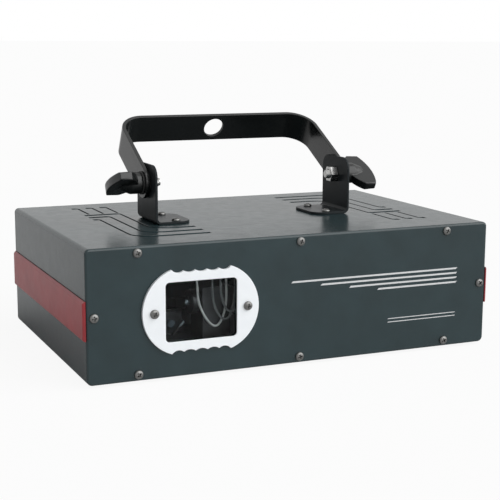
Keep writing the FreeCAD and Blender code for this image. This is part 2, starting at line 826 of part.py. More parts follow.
def rocker():
    """Rocker with two faces that dip to the middle, round below, resting in its off position."""
    pivot = Vec(switch_x, rear_y, fitting_height)
    rise = flange_thickness + rocker_rise
    dip = flange_thickness + rocker_dip
    half = rocker_half_length

    def point(z, y):
        return Vec(-rocker_width / 2, y, z)

    edges = [Part.LineSegment(point(-half, 0), point(-half, rise)).toShape(),
             Part.LineSegment(point(-half, rise), point(0, dip)).toShape(),
             Part.LineSegment(point(0, dip), point(half, rise)).toShape(),
             Part.LineSegment(point(half, rise), point(half, 0)).toShape(),
             Part.LineSegment(point(half, 0), point(rocker_radius, 0)).toShape(),
             Part.Arc(point(rocker_radius, 0), point(0, -rocker_radius), point(-rocker_radius, 0)).toShape(),
             Part.LineSegment(point(-rocker_radius, 0), point(-half, 0)).toShape()]
    shape = wire_prism(edges, X_AXIS * rocker_width)
    shape.rotate(Vec(0, 0, 0), X_AXIS, -rocker_tilt)
    shape.translate(pivot)
    return shape


def socket_body(x):
    """Round signal socket shell with its square flange."""
    mouth = rear_y + flange_thickness
    flange = plate_xz(x, fitting_height, socket_flange, (rear_y, mouth), flange_corner)
    shell = rod(socket_shell_radius, Vec(x, rear_inside - socket_depth, fitting_height),
                Vec(x, rear_y, fitting_height))
    shape = flange.fuse(shell).removeSplitter()
    bore_end = Vec(x, mouth, fitting_height)
    bore = rod(socket_bore_radius, bore_end - Y_AXIS * socket_bore_depth, bore_end)
    return cut_screw_holes(shape.cut(bore), socket_screw_seats())


def contact_places(x):
    """Centres of a signal socket's contacts, seen from behind."""
    places = []
    for i in range(contact_count):
        angle = math.radians(contact_angle + 360.0 * i / contact_count)
        places.append((x + contact_circle * math.cos(angle), fitting_height + contact_circle * math.sin(angle)))
    return places


def dmx_in_pins():
    """Contact pins standing on the input socket's floor."""
    floor = rear_y + flange_thickness - socket_bore_depth
    pins = []
    for x, z in contact_places(dmx_in_x):
        pin = rod(contact_radius, Vec(x, floor, z), Vec(x, floor + contact_length, z))
        pins.append(pin)
    return Part.makeCompound(pins)


def dmx_out_insert():
    """Insulating insert of the output socket, with three contact holes."""
    floor = rear_y + flange_thickness - socket_bore_depth
    mouth = rear_y + flange_thickness
    insert_end = Vec(dmx_out_x, mouth, fitting_height)
    insert = rod(socket_insert_radius, Vec(dmx_out_x, floor, fitting_height), insert_end)
    for x, z in contact_places(dmx_out_x):
        hole = rod(contact_radius + assembly_gap, Vec(x, mouth - contact_length, z), Vec(x, mouth, z))
        insert = insert.cut(hole)
    return insert


def button_places():
    """Menu button centres, in a row under the display."""
    first = display_x - button_spacing * (button_count - 1) / 2
    return [first + i * button_spacing for i in range(button_count)]


def display_board():
    """Board behind the rear panel that carries the display and the button switches."""
    y_high = rear_inside - display_board_depth
    z_mid = fitting_height + (display_rise - button_drop) / 2
    board = block(about(display_x, display_board_size[0]), (y_high - board_sheet, y_high),
                  about(z_mid, display_board_size[1]))
    z = fitting_height - button_drop
    for x in button_places():
        board = board.fuse(block(about(x, tact_size), (y_high, y_high + tact_height), about(z, tact_size)))
    post_x = display_board_size[0] / 2 - standoff_radius
    post_z = display_board_size[1] / 2 - standoff_radius
    for dx in (-post_x, post_x):
        for dz in (-post_z, post_z):
            start = Vec(display_x + dx, y_high, z_mid + dz)
            board = board.fuse(rod(standoff_radius, start, Vec(start.x, rear_inside, start.z)))
    return board.removeSplitter()


def display_module():
    """Numeric display standing on its board and showing through the rear panel."""
    y_low = rear_inside - display_board_depth
    return block(about(display_x, display_size[0]), (y_low, rear_y + display_proud),
                 about(fitting_height + display_rise, display_size[1]))


def menu_button(x):
    """Push button with a retaining collar inside the panel."""
    z = fitting_height - button_drop
    tail = rear_inside - display_board_depth + tact_height + button_travel + assembly_gap
    cap = rod(button_radius, Vec(x, tail, z), Vec(x, rear_y + button_proud, z))
    rim = [e for e in cap.Edges if abs(e.CenterOfMass.y - rear_y - button_proud) < same_place]
    cap = cap.makeChamfer(button_edge, rim)
    collar_end = rear_inside - assembly_gap
    collar = rod(button_radius + button_flange, Vec(x, collar_end - button_flange, z), Vec(x, collar_end, z))
    return cap.fuse(collar).removeSplitter()


def pot_axis(y):
    """Point on the sensitivity control's axis."""
    return Vec(sensitivity_x, y, fitting_height - sensitivity_drop)


def sensitivity_pot():
    """Rotary control behind the rear panel with its bushing through it."""
    body = block(about(sensitivity_x, pot_size[0]), (rear_inside - pot_depth, rear_inside),
                 about(fitting_height - sensitivity_drop, pot_size[1]))
    bushing = rod(pot_bushing_radius, pot_axis(rear_inside), pot_axis(rear_y + pot_bushing_proud))
    bore = rod(pot_shaft_radius + running_clearance, pot_axis(rear_inside - pot_depth / 2),
               pot_axis(rear_y + pot_bushing_proud))
    return body.fuse(bushing).removeSplitter().cut(bore)


def sensitivity_knob():
    """Fluted knob moulded in one with the control's shaft."""
    base = rear_y + pot_bushing_proud
    knob_body = rod(pot_knob_radius, pot_axis(base), pot_axis(base + pot_knob_length))
    for i in range(pot_knob_flutes):
        angle = 2 * math.pi * i / pot_knob_flutes
        shift = Vec(pot_knob_radius * math.cos(angle), 0, pot_knob_radius * math.sin(angle))
        flute = rod(pot_flute_radius, pot_axis(base) + shift, pot_axis(base + pot_knob_length) + shift)
        knob_body = knob_body.cut(flute)
    shaft = rod(pot_shaft_radius, pot_axis(rear_inside - pot_depth / 2 + assembly_gap), pot_axis(base))
    return knob_body.fuse(shaft).removeSplitter()


def microphone():
    """Microphone capsule behind its hole in the rear panel."""
    z = fitting_height + mic_rise
    return rod(mic_radius, Vec(sensitivity_x, rear_inside - mic_length, z), Vec(sensitivity_x, rear_inside, z))


def rear_panel():
    """Rear plate with a cut-out for each fitting."""
    panel = panel_blank((rear_inside, rear_y))
    y = (rear_inside - panel_sheet, rear_y + panel_sheet)
    for x, size in ((inlet_x, inlet_body), (switch_x, switch_body)):
        opening_x = about(x, size[0] + assembly_gap)
        opening_z = about(fitting_height, size[1] + assembly_gap)
        panel = panel.cut(block(opening_x, y, opening_z))
    panel = panel.cut(block(about(display_x, display_size[0] + assembly_gap), y,
                            about(fitting_height + display_rise, display_size[1] + assembly_gap)))
    rounds = [(dmx_in_x, fitting_height, socket_shell_radius + assembly_gap),
              (dmx_out_x, fitting_height, socket_shell_radius + assembly_gap),
              (sensitivity_x, fitting_height - sensitivity_drop, pot_bushing_radius + assembly_gap),
              (sensitivity_x, fitting_height + mic_rise, mic_hole_radius),
              (fan_x, fitting_height, fan_bore_radius)]
    rounds += [(x, fitting_height - button_drop, button_radius + assembly_gap) for x in button_places()]
    for x, z, radius in rounds:
        panel = panel.cut(rod(radius, Vec(x, y[0], z), Vec(x, y[1], z)))
    seats = panel_screw_seats()[1] + socket_screw_seats() + fan_screw_seats()
    return cut_screw_holes(panel, seats)


def fan_axis(y):
    """Point on the fan's axis."""
    return Vec(fan_x, y, fitting_height)


def fan_frame():
    """Square fan frame with its bore, three struts, hub plate and rotor pin."""
    y_low = rear_inside - fan_depth
    frame = plate_xz(fan_x, fitting_height, (fan_size, fan_size), (y_low, rear_inside), fan_corner)
    frame = frame.cut(rod(fan_bore_radius, fan_axis(y_low), fan_axis(rear_inside)))
    hub = rod(fan_hub_radius, fan_axis(y_low), fan_axis(y_low + fan_web))
    for i in range(fan_strut_count):
        strut = block((0, fan_bore_radius + fan_strut / 2), (y_low, y_low + fan_web), about(0, fan_strut))
        strut.rotate(Vec(0, 0, 0), Y_AXIS, 360.0 * i / fan_strut_count + fan_strut_angle)
        strut.translate(Vec(fan_x, 0, fitting_height))
        hub = hub.fuse(strut)
    pin = rod(fan_pin_radius, fan_axis(y_low), fan_axis(rear_inside - fan_web - 2 * assembly_gap))
    frame = frame.fuse(hub).fuse(pin).removeSplitter()
    return cut_screw_holes(frame, fan_screw_seats())


def fan_rotor():
    """Fan hub with pitched blades, running on the frame's pin."""
    y_low = rear_inside - fan_depth + fan_web + assembly_gap
    y_high = rear_inside - assembly_gap
    rotor = rod(fan_hub_radius, fan_axis(y_low), fan_axis(y_high))
    middle = (y_low + y_high) / 2
    for i in range(fan_blade_count):
        blade = block((fan_hub_radius - fan_blade_root, fan_blade_radius), about(0, fan_blade_chord),
                      about(0, fan_blade_sheet))
        blade.rotate(Vec(0, 0, 0), X_AXIS, fan_blade_pitch)
        blade.rotate(Vec(0, 0, 0), Y_AXIS, 360.0 * i / fan_blade_count)
        blade.translate(fan_axis(middle))
        rotor = rotor.fuse(blade)
    tip_limit = rod(fan_blade_radius, fan_axis(y_low), fan_axis(y_high))
    pin_bore = rod(fan_pin_radius + running_clearance, fan_axis(y_low), fan_axis(y_high - fan_web))
    return rotor.common(tip_limit).removeSplitter().cut(pin_bore)


def fan_guard():
    """Finger guard: flat rings joined by four spokes that end in screw eyes."""
    y = (rear_y, rear_y + guard_thickness)
    shapes = []
    for radius in guard_rings:
        disc = rod(radius + guard_bar / 2, fan_axis(y[0]), fan_axis(y[1]))
        shapes.append(disc.cut(rod(radius - guard_bar / 2, fan_axis(y[0]), fan_axis(y[1]))))
    reach = fan_hole_spacing / math.sqrt(2)
    for i, (seat, drive) in enumerate(fan_screw_seats()):
        spoke = block((guard_rings[0], reach), y, about(0, guard_bar))
        spoke.rotate(Vec(0, 0, 0), Y_AXIS, 45 + 90 * i)
        spoke.translate(Vec(fan_x, 0, fitting_height))
        flat = Vec(seat.x, y[0], seat.z)
        shapes += [spoke, rod(guard_eye_radius, flat, flat + Y_AXIS * guard_thickness)]
    guard = shapes[0].fuse(shapes[1:]).removeSplitter()
    return cut_screw_holes(guard, fan_screw_seats())


def standoff_posts(x, y, z):
    """Four posts under the corners of a board or bench."""
    posts = []
    for px in (x[0] + standoff_inset, x[1] - standoff_inset):
        for py in (y[0] + standoff_inset, y[1] - standoff_inset):
            posts.append(rod(standoff_radius, Vec(px, py, z[0]), Vec(px, py, z[1])))
    return posts


def bench_limits():
    """Plan limits of the optical bench."""
    x0 = -half_width + bench_left
    y0 = front_back + bench_front_gap
    return (x0, x0 + bench_width), (y0, y0 + bench_depth)


def control_board_limits():
    """Plan limits of the control board."""
    return (board_left, board_right), control_board_y


def power_board_limits():
    """Plan limits of the power supply board."""
    return (board_left + power_board_inset, board_right), power_board_y


def standoffs():
    """Posts that carry the optical bench and both circuit boards."""
    x, y = bench_limits()
    posts = standoff_posts(x, y, (base_high, bench_low))
    for x, y in (control_board_limits(), power_board_limits()):
        posts += standoff_posts(x, y, (base_high, board_low))
    return Part.makeCompound(posts)


def optical_bench():
    """Plate that carries the lasers and the scanner, with a post for the dichroic mirror."""
    x, y = bench_limits()
    plate = rounded(block(x, y, (bench_low, bench_high)), Z_AXIS, standoff_radius)
    post = block(about(laser_x, dichroic_mount), about(scan_y, dichroic_mount),
                 (bench_low, scan_low - dichroic_size / 2))
    return plate.fuse(post).removeSplitter()


def low_motor_y():
    """Near and far ends of the lower scan motor, which lies along Y behind its mirror."""
    return (scan_y + scan_motor_gap, scan_y + scan_motor_gap + scan_motor_length)


def high_motor_x():
    """Near and far ends of the upper scan motor, which lies along X beside its mirror."""
    return (scan_x + scan_motor_gap, scan_x + scan_motor_gap + scan_motor_length)


def scan_holder():
    """Machined holder with a bored block for each scan motor on one foot."""
    wall = scan_motor_radius + scan_holder_wall
    low_mid = sum(low_motor_y()) / 2
    high_mid = sum(high_motor_x()) / 2
    low_y = about(low_mid, scan_holder_length)
    high_x = about(high_mid, scan_holder_length)
    low_block = block(about(scan_x, 2 * wall), low_y, (bench_high, scan_low + wall))
    high_block = block(high_x, about(scan_y, 2 * wall), (bench_high, scan_high + wall))
    sole_z = (bench_high, bench_high + scan_holder_foot)
    sole = block((scan_x - wall, high_x[1]), (scan_y - wall, low_y[1]), sole_z)
    shape = low_block.fuse([high_block, sole]).removeSplitter()
    bore = scan_motor_radius + running_clearance
    shape = shape.cut(rod(bore, Vec(scan_x, low_y[0] - wall, scan_low), Vec(scan_x, low_y[1], scan_low)))
    return shape.cut(rod(bore, Vec(high_x[0], scan_y, scan_high), Vec(high_x[1], scan_y, scan_high)))


def scan_motor(near, far):
    """Scan motor barrel with a shaft bore in its near end."""
    barrel = rod(scan_motor_radius, near, far)
    way = (far - near).normalize()
    bore_end = near + way * (scan_shaft_grip + assembly_gap)
    return barrel.cut(rod(scan_shaft_radius + running_clearance, near, bore_end))


def scan_mirror(near, way, size, facing):
    """Mirror plate in a collar on the scan motor's shaft, turned to face its beam."""
    reach = scan_motor_gap + size[0] / 2
    shaft = rod(scan_shaft_radius, near - way * scan_shaft_grip, near + way * (scan_motor_gap - size[0] / 2))
    collar_start = near + way * assembly_gap
    collar = rod(scan_collar_radius, collar_start, collar_start + way * scan_collar_length)
    plate = block((0, size[0]), about(0, size[1]), about(0, scan_mirror_sheet))
    plate.rotate(Vec(0, 0, 0), X_AXIS, facing)
    turn = FreeCAD.Rotation(X_AXIS, way)
    plate.Placement = FreeCAD.Placement(Vec(0, 0, 0), turn).multiply(plate.Placement)
    plate.translate(near + way * (reach - size[0]))
    return shaft.fuse([collar, plate]).removeSplitter()


def laser_barrel(back, way):
    """Laser module: barrel, stepped nose and recessed lens."""
    front = back + way * laser_length
    barrel = rod(laser_radius, back, front).fuse(rod(laser_nose_radius, front, front + way * laser_nose_length))
    lens_start = front + way * (laser_nose_length / 2)
    return barrel.removeSplitter().cut(rod(laser_lens_radius, lens_start, front + way * laser_nose_length))


def side_laser_back():
    """Rear end of the laser that fires along +X."""
    nose = laser_x - dichroic_size / 2 - assembly_gap
    return Vec(nose - laser_nose_length - laser_length, scan_y, scan_low)


def rear_laser_back():
    """Rear end of the laser that fires along -Y."""
    nose = scan_y + dichroic_size
    return Vec(laser_x, nose + laser_nose_length + laser_length, scan_low)


def laser_clamps():
    """Bored blocks that hold the laser modules on the bench."""
    wall = laser_radius + laser_clamp_wall
    clamps = []
    for back, way in ((side_laser_back(), X_AXIS), (rear_laser_back(), -Y_AXIS)):
        middle = back + way * (laser_length / 2)
        along_x = laser_clamp_length if way.x else 2 * wall
        along_y = laser_clamp_length if way.y else 2 * wall
        clamp = block(about(middle.x, along_x), about(middle.y, along_y), (bench_high, scan_low + wall))
        clamps.append(clamp.cut(rod(laser_radius + running_clearance, back, back + way * laser_length)))
    return Part.makeCompound(clamps)


def dichroic_mirror():
    """Thin mirror at 45 degrees where both beams join."""
    plate = block(about(0, dichroic_size), about(0, dichroic_sheet), about(0, dichroic_size))
    plate.rotate(Vec(0, 0, 0), Z_AXIS, mirror_slant)
    plate.translate(Vec(laser_x, scan_y, scan_low))
    return plate


def part_on_board(x, y, size):
    """Component block standing on a circuit board."""
    top = board_low + board_sheet
    return block(about(x, size[0]), about(y, size[1]), (top, top + size[2]))


def can_on_board(x, y, size):
    """Capacitor can of a radius and height standing on a circuit board."""
    top = board_low + board_sheet
    return rod(size[0], Vec(x, y, top), Vec(x, y, top + size[1]))


def control_board():
    """Control board with its processor, drivers, header and capacitors."""
    x, y = control_board_limits()
    cx = sum(x) / 2
    cy = sum(y) / 2
    pieces = [part_on_board(cx, cy, processor_size), part_on_board(x[0] + header_inset, cy, header_size)]
    driver_pitch = (y[1] - y[0] - 2 * driver_inset) / (driver_count - 1)
    for i in range(driver_count):
        row = y[0] + driver_inset + driver_pitch * i
        pieces.append(part_on_board(cx + driver_offset, row, driver_size))
        pieces.append(can_on_board(cx + small_can_offset, row, small_can))
    return block(x, y, (board_low, board_low + board_sheet)).fuse(pieces).removeSplitter()


def power_board():
    """Switched power supply with transformer, choke, heat sink, terminals and capacitors."""
    x, y = power_board_limits()
    cx = sum(x) / 2
    cy = sum(y) / 2
    pieces = [part_on_board(cx + transformer_place[0], cy + transformer_place[1], transformer_size),
              part_on_board(cx + heat_sink_place[0], cy + heat_sink_place[1], heat_sink_size),
              part_on_board(x[1] - choke_place[0], cy + choke_place[1], choke_size),
              part_on_board(x[1] - terminal_inset, cy, terminal_size),
              can_on_board(x[1] - input_can_place[0], cy + input_can_place[1], input_can)]
    for row in about(cy, output_can_spacing):
        pieces.append(can_on_board(x[0] + output_can_inset, row, output_can))
    return block(x, y, (board_low, board_low + board_sheet)).fuse(pieces).removeSplitter()


def rounded_path(points):
    """Straight runs joined by tangent arcs, each as large as the shorter of its two runs allows."""
    edges = []
    start = points[0]
    for before, corner, after in zip(points, points[1:], points[2:]):
        run_in = corner - before
        run_out = after - corner
        reach = cable_arc_share * min(run_in.Length, run_out.Length)
        way_in = run_in.normalize()
        way_out = run_out.normalize()
        arc_start = corner - way_in * reach
        arc_end = corner + way_out * reach
        inward = (way_out - way_in).normalize()
        half_turn = way_in.getAngle(way_out) / 2
        dip = reach / math.tan(half_turn) * (1 / math.cos(half_turn) - 1)
        edges.append(Part.LineSegment(start, arc_start).toShape())
        edges.append(Part.Arc(arc_start, corner + inward * dip, arc_end).toShape())
        start = arc_end
    edges.append(Part.LineSegment(start, points[-1]).toShape())
    return Part.Wire(edges)


def scan_cables():
    """Loops of thin cable that hang from the cover beside the scanner."""
    cables = []
    ceiling = top_z - sheet
    half_across = bezel_width / 2 - bezel_side
    half_up = bezel_height / 2 - bezel_rail
    for i, route in enumerate(cable_routes):
        y = front_y + cable_setback - i * cable_layer
        points = [Vec(bezel_x + across * half_across, y, bezel_z + up * half_up) for across, up in route]
        points = [Vec(points[0].x, y, ceiling)] + points + [Vec(points[-1].x, y, ceiling)]
        path = rounded_path(points)
        section = Part.Wire(Part.makeCircle(cable_radius, points[0], -Z_AXIS))
        cables.append(path.makePipeShell([section], True, False))
    return Part.makeCompound(cables)


def build():
    """Make every node and write it."""
    os.makedirs("parts", exist_ok=True)
    front_seats, rear_seats = panel_screw_seats()
    trim = side_trim()
    left_bracket = bracket()
    left_stud = stud()
    left_washer = clamp_washer()
    near_low = Vec(scan_x, low_motor_y()[0], scan_low)
    near_high = Vec(high_motor_x()[0], scan_y, scan_high)
    nodes = {
        "top_cover": top_cover(),
        "base_plate": base_plate(),
        "front_panel": front_panel(),
        "rear_panel": rear_panel(),
        "side_trim_left": trim,
        "side_trim_right": mirrored(trim),
        "front_panel_screws": screw_group(front_seats),
        "rear_screws": screw_group(rear_seats + socket_screw_seats() + fan_screw_seats()),
        "base_screws": screw_group(base_screw_seats()),
        "bezel": bezel(),
        "window_glass": window_glass(),
        "bezel_screws": screw_group(bezel_screw_seats()),
        "bracket_left": left_bracket,
        "bracket_right": mirrored(left_bracket),
        "bracket_screws": screw_group(bracket_screw_seats()),
        "pivot_nuts": pivot_nuts(),
        "friction_washers": friction_washers(),
        "yoke": yoke(),
        "knob_left": knob(knob_angle_left),
        "knob_right": mirrored(knob(knob_angle_right)),
        "stud_left": left_stud,
        "stud_right": mirrored(left_stud),
        "clamp_washer_left": left_washer,
        "clamp_washer_right": mirrored(left_washer),
        "power_inlet": power_inlet(),
        "inlet_blades": inlet_blades(),
        "fuse_drawer": fuse_drawer(),
        "switch_body": switch_body_shape(),
        "switch_rocker": rocker(),
        "dmx_in_socket": socket_body(dmx_in_x),
        "dmx_in_pins": dmx_in_pins(),
        "dmx_out_socket": socket_body(dmx_out_x),
        "dmx_out_insert": dmx_out_insert(),
        "display_board": display_board(),
        "display_module": display_module(),
        "sensitivity_pot": sensitivity_pot(),
        "sensitivity_knob": sensitivity_knob(),
        "microphone": microphone(),
        "fan_frame": fan_frame(),
        "fan_rotor": fan_rotor(),
        "fan_guard": fan_guard(),
        "optical_bench": optical_bench(),
        "standoffs": standoffs(),
        "scan_holder": scan_holder(),
        "scan_motor_low": scan_motor(near_low, near_low + Y_AXIS * scan_motor_length),
        "scan_motor_high": scan_motor(near_high, near_high + X_AXIS * scan_motor_length),
        "scan_mirror_low": scan_mirror(near_low, -Y_AXIS, scan_mirror_low, mirror_slant),
        "scan_mirror_high": scan_mirror(near_high, -X_AXIS, scan_mirror_high, mirror_slant),
        "laser_module_side": laser_barrel(side_laser_back(), X_AXIS),
        "laser_module_rear": laser_barrel(rear_laser_back(), -Y_AXIS),
        "laser_clamps": laser_clamps(),
        "dichroic_mirror": dichroic_mirror(),
        "scan_cables": scan_cables(),
        "control_board": control_board(),
        "power_board": power_board(),
    }
    foot_x = half_width - foot_inset_x
    foot_y = housing_depth / 2 - foot_inset_y
    feet = [foot(sx * foot_x, housing_y + sy * foot_y) for sy in (-1, 1) for sx in (-1, 1)]
    nodes["feet"] = Part.makeCompound(feet)
    for i, x in enumerate(button_places()):
        nodes["menu_button_%d" % (i + 1)] = menu_button(x)
    for name, shape in nodes.items():
        save(shape, name)
    print(len(nodes), "nodes")


build()
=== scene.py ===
"""Looks of a laser show projector: meshes, materials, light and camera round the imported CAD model."""
import json
import math
import random

import bmesh
import bpy
from mathutils import Matrix, Vector
from mathutils.bvhtree import BVHTree


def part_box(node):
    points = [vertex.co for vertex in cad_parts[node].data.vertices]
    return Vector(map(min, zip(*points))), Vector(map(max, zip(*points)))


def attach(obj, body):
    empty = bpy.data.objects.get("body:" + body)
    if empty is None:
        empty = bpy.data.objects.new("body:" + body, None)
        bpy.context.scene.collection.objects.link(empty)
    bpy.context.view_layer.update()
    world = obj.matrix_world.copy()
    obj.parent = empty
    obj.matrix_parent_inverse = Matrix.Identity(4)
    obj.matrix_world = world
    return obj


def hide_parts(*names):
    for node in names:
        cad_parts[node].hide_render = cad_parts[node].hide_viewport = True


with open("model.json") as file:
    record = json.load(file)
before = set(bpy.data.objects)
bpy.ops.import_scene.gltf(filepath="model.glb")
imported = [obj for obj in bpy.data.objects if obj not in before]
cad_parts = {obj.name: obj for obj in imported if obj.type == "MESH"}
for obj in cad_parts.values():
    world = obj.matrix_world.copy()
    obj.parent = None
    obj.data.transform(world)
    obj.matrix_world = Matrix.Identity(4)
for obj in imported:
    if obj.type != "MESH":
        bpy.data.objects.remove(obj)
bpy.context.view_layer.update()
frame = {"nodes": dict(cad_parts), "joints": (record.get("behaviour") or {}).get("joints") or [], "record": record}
nodes = frame["nodes"]
scene = bpy.context.scene
MM = 0.001
X_AXIS = Vector((1.0, 0.0, 0.0))
Y_AXIS = Vector((0.0, 1.0, 0.0))
Z_AXIS = Vector((0.0, 0.0, 1.0))

# Camera, solved from the photograph's straight edges: metres, degrees and millimetres of lens
CAMERA_PLACE = (-0.3153, -0.73135, 0.2017)
CAMERA_YAW = 23.75
CAMERA_PITCH = 10.27
CAMERA_ROLL = 0.26
CAMERA_LENS = 85.93

# Light: the floor's size in metres and the lamp's spread in degrees
WORLD_STRENGTH = 0.28
WORLD_SEEN = 1.0
WORLD_MIRRORED = 0.72
FLOOR_COLOUR = (0.8, 0.8, 0.8, 1.0)
FLOOR_SEEN_WHITE = 0.92
FLOOR_MIRRORED_WHITE = 0.02
FLOOR_SIZE = 60.0
KEY_FROM = (0.62, -0.7, 0.6)
KEY_STRENGTH = 3.05
KEY_SPREAD = 80.0

# Mesh tolerances, and edges in millimetres
JOIN_DISTANCE = 0.004 * MM
FLAT_ANGLE = math.radians(0.6)
EDGE_ANGLE = math.radians(32.0)
NORMAL_WEIGHT = 100
SORT_DIGITS = 5
FINE_EDGE = 0.15
SHEET_EDGE = 0.2
PLATE_EDGE = 0.3
MOULDED_EDGE = 0.35
SOFT_EDGE = 0.5
EDGE_SEGMENTS = 2
FRONT_RIM = 1.45
RIM_INSET = 1.2
RIM_SEGMENTS = 6
RIM_SIDE_LIMIT = 0.5
ROUND_PROFILE = 0.5


# Camera, floor and light

def make_camera():
    """Camera at the photograph's viewpoint."""
    yaw, pitch, roll = (math.radians(a) for a in (CAMERA_YAW, CAMERA_PITCH, CAMERA_ROLL))
    level = math.cos(pitch)
    forward = Vector((math.sin(yaw) * level, math.cos(yaw) * level, -math.sin(pitch)))
    right = Vector((math.cos(yaw), -math.sin(yaw), 0.0))
    up = right.cross(forward)
    rolled_right = math.cos(roll) * right + math.sin(roll) * up
    rolled_up = -math.sin(roll) * right + math.cos(roll) * up
    turn = Matrix((rolled_right, rolled_up, -forward)).transposed().to_4x4()
    camera = bpy.data.objects.new("camera", bpy.data.cameras.new("camera"))
    camera.data.lens = CAMERA_LENS
    camera.matrix_world = Matrix.Translation(CAMERA_PLACE) @ turn
    scene.collection.objects.link(camera)
    scene.camera = camera


def ray_share(tree, seen, mirrored):
    """One share for camera rays and another for mirrored rays and rays through glass, else nought."""
    path = tree.nodes.new("ShaderNodeLightPath")
    rays = (("Is Camera Ray", seen), ("Is Glossy Ray", mirrored), ("Is Transmission Ray", mirrored))
    total = None
    for ray, share in rays:
        add = tree.nodes.new("ShaderNodeMath")
        add.operation = "MULTIPLY_ADD"
        add.use_clamp = True
        add.inputs[1].default_value = share
        add.inputs[2].default_value = 0.0
        tree.links.new(path.outputs[ray], add.inputs[0])
        if total:
            tree.links.new(total, add.inputs[2])
        total = add.outputs[0]
    return total


def make_world():
    """Even white surroundings, as in a light tent."""
    world = bpy.data.worlds.new("surroundings")
    world.use_nodes = True
    scene.world = world
    tree = world.node_tree
    background = tree.nodes["Background"]
    background.inputs["Color"].default_value = (1.0, 1.0, 1.0, 1.0)
    strength = tree.nodes.new("ShaderNodeMapRange")
    strength.inputs["To Min"].default_value = WORLD_STRENGTH
    strength.inputs["To Max"].default_value = 1.0
    tree.links.new(ray_share(tree, WORLD_SEEN, WORLD_MIRRORED), strength.inputs["Value"])
    tree.links.new(strength.outputs["Result"], background.inputs["Strength"])


def make_floor():
    """White floor that keeps a faint shadow."""
    mesh = bpy.data.meshes.new("floor")
    half = FLOOR_SIZE / 2
    corners = [(-half, -half, 0), (half, -half, 0), (half, half, 0), (-half, half, 0)]
    mesh.from_pydata(corners, [], [(0, 1, 2, 3)])
    floor = bpy.data.objects.new("floor", mesh)
    scene.collection.objects.link(floor)
    made = bpy.data.materials.new("floor")
    made.use_nodes = True
    tree = made.node_tree
    matt = tree.nodes["Principled BSDF"]
    matt.inputs["Base Color"].default_value = FLOOR_COLOUR
    matt.inputs["Roughness"].default_value = 1.0
    matt.inputs["Specular IOR Level"].default_value = 0.0
    white = tree.nodes.new("ShaderNodeEmission")
    mix = tree.nodes.new("ShaderNodeMixShader")
    tree.links.new(ray_share(tree, FLOOR_SEEN_WHITE, FLOOR_MIRRORED_WHITE), mix.inputs["Fac"])
    tree.links.new(matt.outputs[0], mix.inputs[1])
    tree.links.new(white.outputs[0], mix.inputs[2])
    tree.links.new(mix.outputs[0], tree.nodes["Material Output"].inputs["Surface"])
    mesh.materials.append(made)


def make_key():
    """Broad soft light from the right."""
    lamp = bpy.data.lights.new("key", "SUN")
    lamp.energy = KEY_STRENGTH
    lamp.angle = math.radians(KEY_SPREAD)
    holder = bpy.data.objects.new("key", lamp)
    holder.rotation_mode = "QUATERNION"
    holder.rotation_quaternion = (-Vector(KEY_FROM)).to_track_quat("-Z", "Y")
    scene.collection.objects.link(holder)


# Materials

NOISE_RANGE = (0.3, 0.7)
TRACKS = (1.0, 0.15, 1.0)


class Finish:
    """Procedural material on the frame's own coordinates, with sizes and depths in millimetres."""

    def __init__(self, name, colour, roughness, metallic=0.0):
        self.material = bpy.data.materials.new(name)
        self.material.use_nodes = True
        self.tree = self.material.node_tree
        self.shader = self.tree.nodes["Principled BSDF"]
        self.place = self.tree.nodes.new("ShaderNodeTexCoord").outputs["Object"]
        self.colour = colour
        self.normal = None
        self.set("Base Color", (*colour, 1.0))
        self.set("Roughness", roughness)
        self.set("Metallic", metallic)

    def set(self, socket, value):
        self.shader.inputs[socket].default_value = value

    def noise(self, size, detail, stretch=None):
        """Noise with features of about that size, drawn out along an axis where stretch says so."""
        place = self.place
        if stretch:
            mapping = self.tree.nodes.new("ShaderNodeMapping")
            mapping.inputs["Scale"].default_value = stretch
            self.tree.links.new(place, mapping.inputs["Vector"])
            place = mapping.outputs["Vector"]
        texture = self.tree.nodes.new("ShaderNodeTexNoise")
        texture.inputs["Scale"].default_value = 1.0 / (size * MM)
        texture.inputs["Detail"].default_value = detail
        self.tree.links.new(place, texture.inputs["Vector"])
        return texture.outputs["Fac"]

    def vary_colour(self, value, contrast):
        """Colour that runs from darker to lighter than its own by the contrast's share."""
        ramp = self.tree.nodes.new("ShaderNodeValToRGB")
        ends = ramp.color_ramp.elements
        for end, position, share in zip(ends, NOISE_RANGE, (1 - contrast, 1 + contrast)):
            end.position = position
            end.color = (*(min(1.0, c * share) for c in self.colour), 1.0)
        self.tree.links.new(value, ramp.inputs["Fac"])
        self.tree.links.new(ramp.outputs["Color"], self.shader.inputs["Base Color"])

    def vary_roughness(self, value, low, high):
        """Roughness that runs between two values."""
        spread = self.tree.nodes.new("ShaderNodeMapRange")
        spread.inputs["From Min"].default_value = NOISE_RANGE[0]
        spread.inputs["From Max"].default_value = NOISE_RANGE[1]
        spread.inputs["To Min"].default_value = low
        spread.inputs["To Max"].default_value = high
        self.tree.links.new(value, spread.inputs["Value"])
        self.tree.links.new(spread.outputs["Result"], self.shader.inputs["Roughness"])

    def relief(self, value, depth):
        """Surface relief of that depth, on top of any set before."""
        bump = self.tree.nodes.new("ShaderNodeBump")
        bump.inputs["Strength"].default_value = 1.0
        bump.inputs["Distance"].default_value = depth * MM
        self.tree.links.new(value, bump.inputs["Height"])
        if self.normal:
            self.tree.links.new(self.normal, bump.inputs["Normal"])
        self.normal = bump.outputs["Normal"]
        self.tree.links.new(self.normal, self.shader.inputs["Normal"])


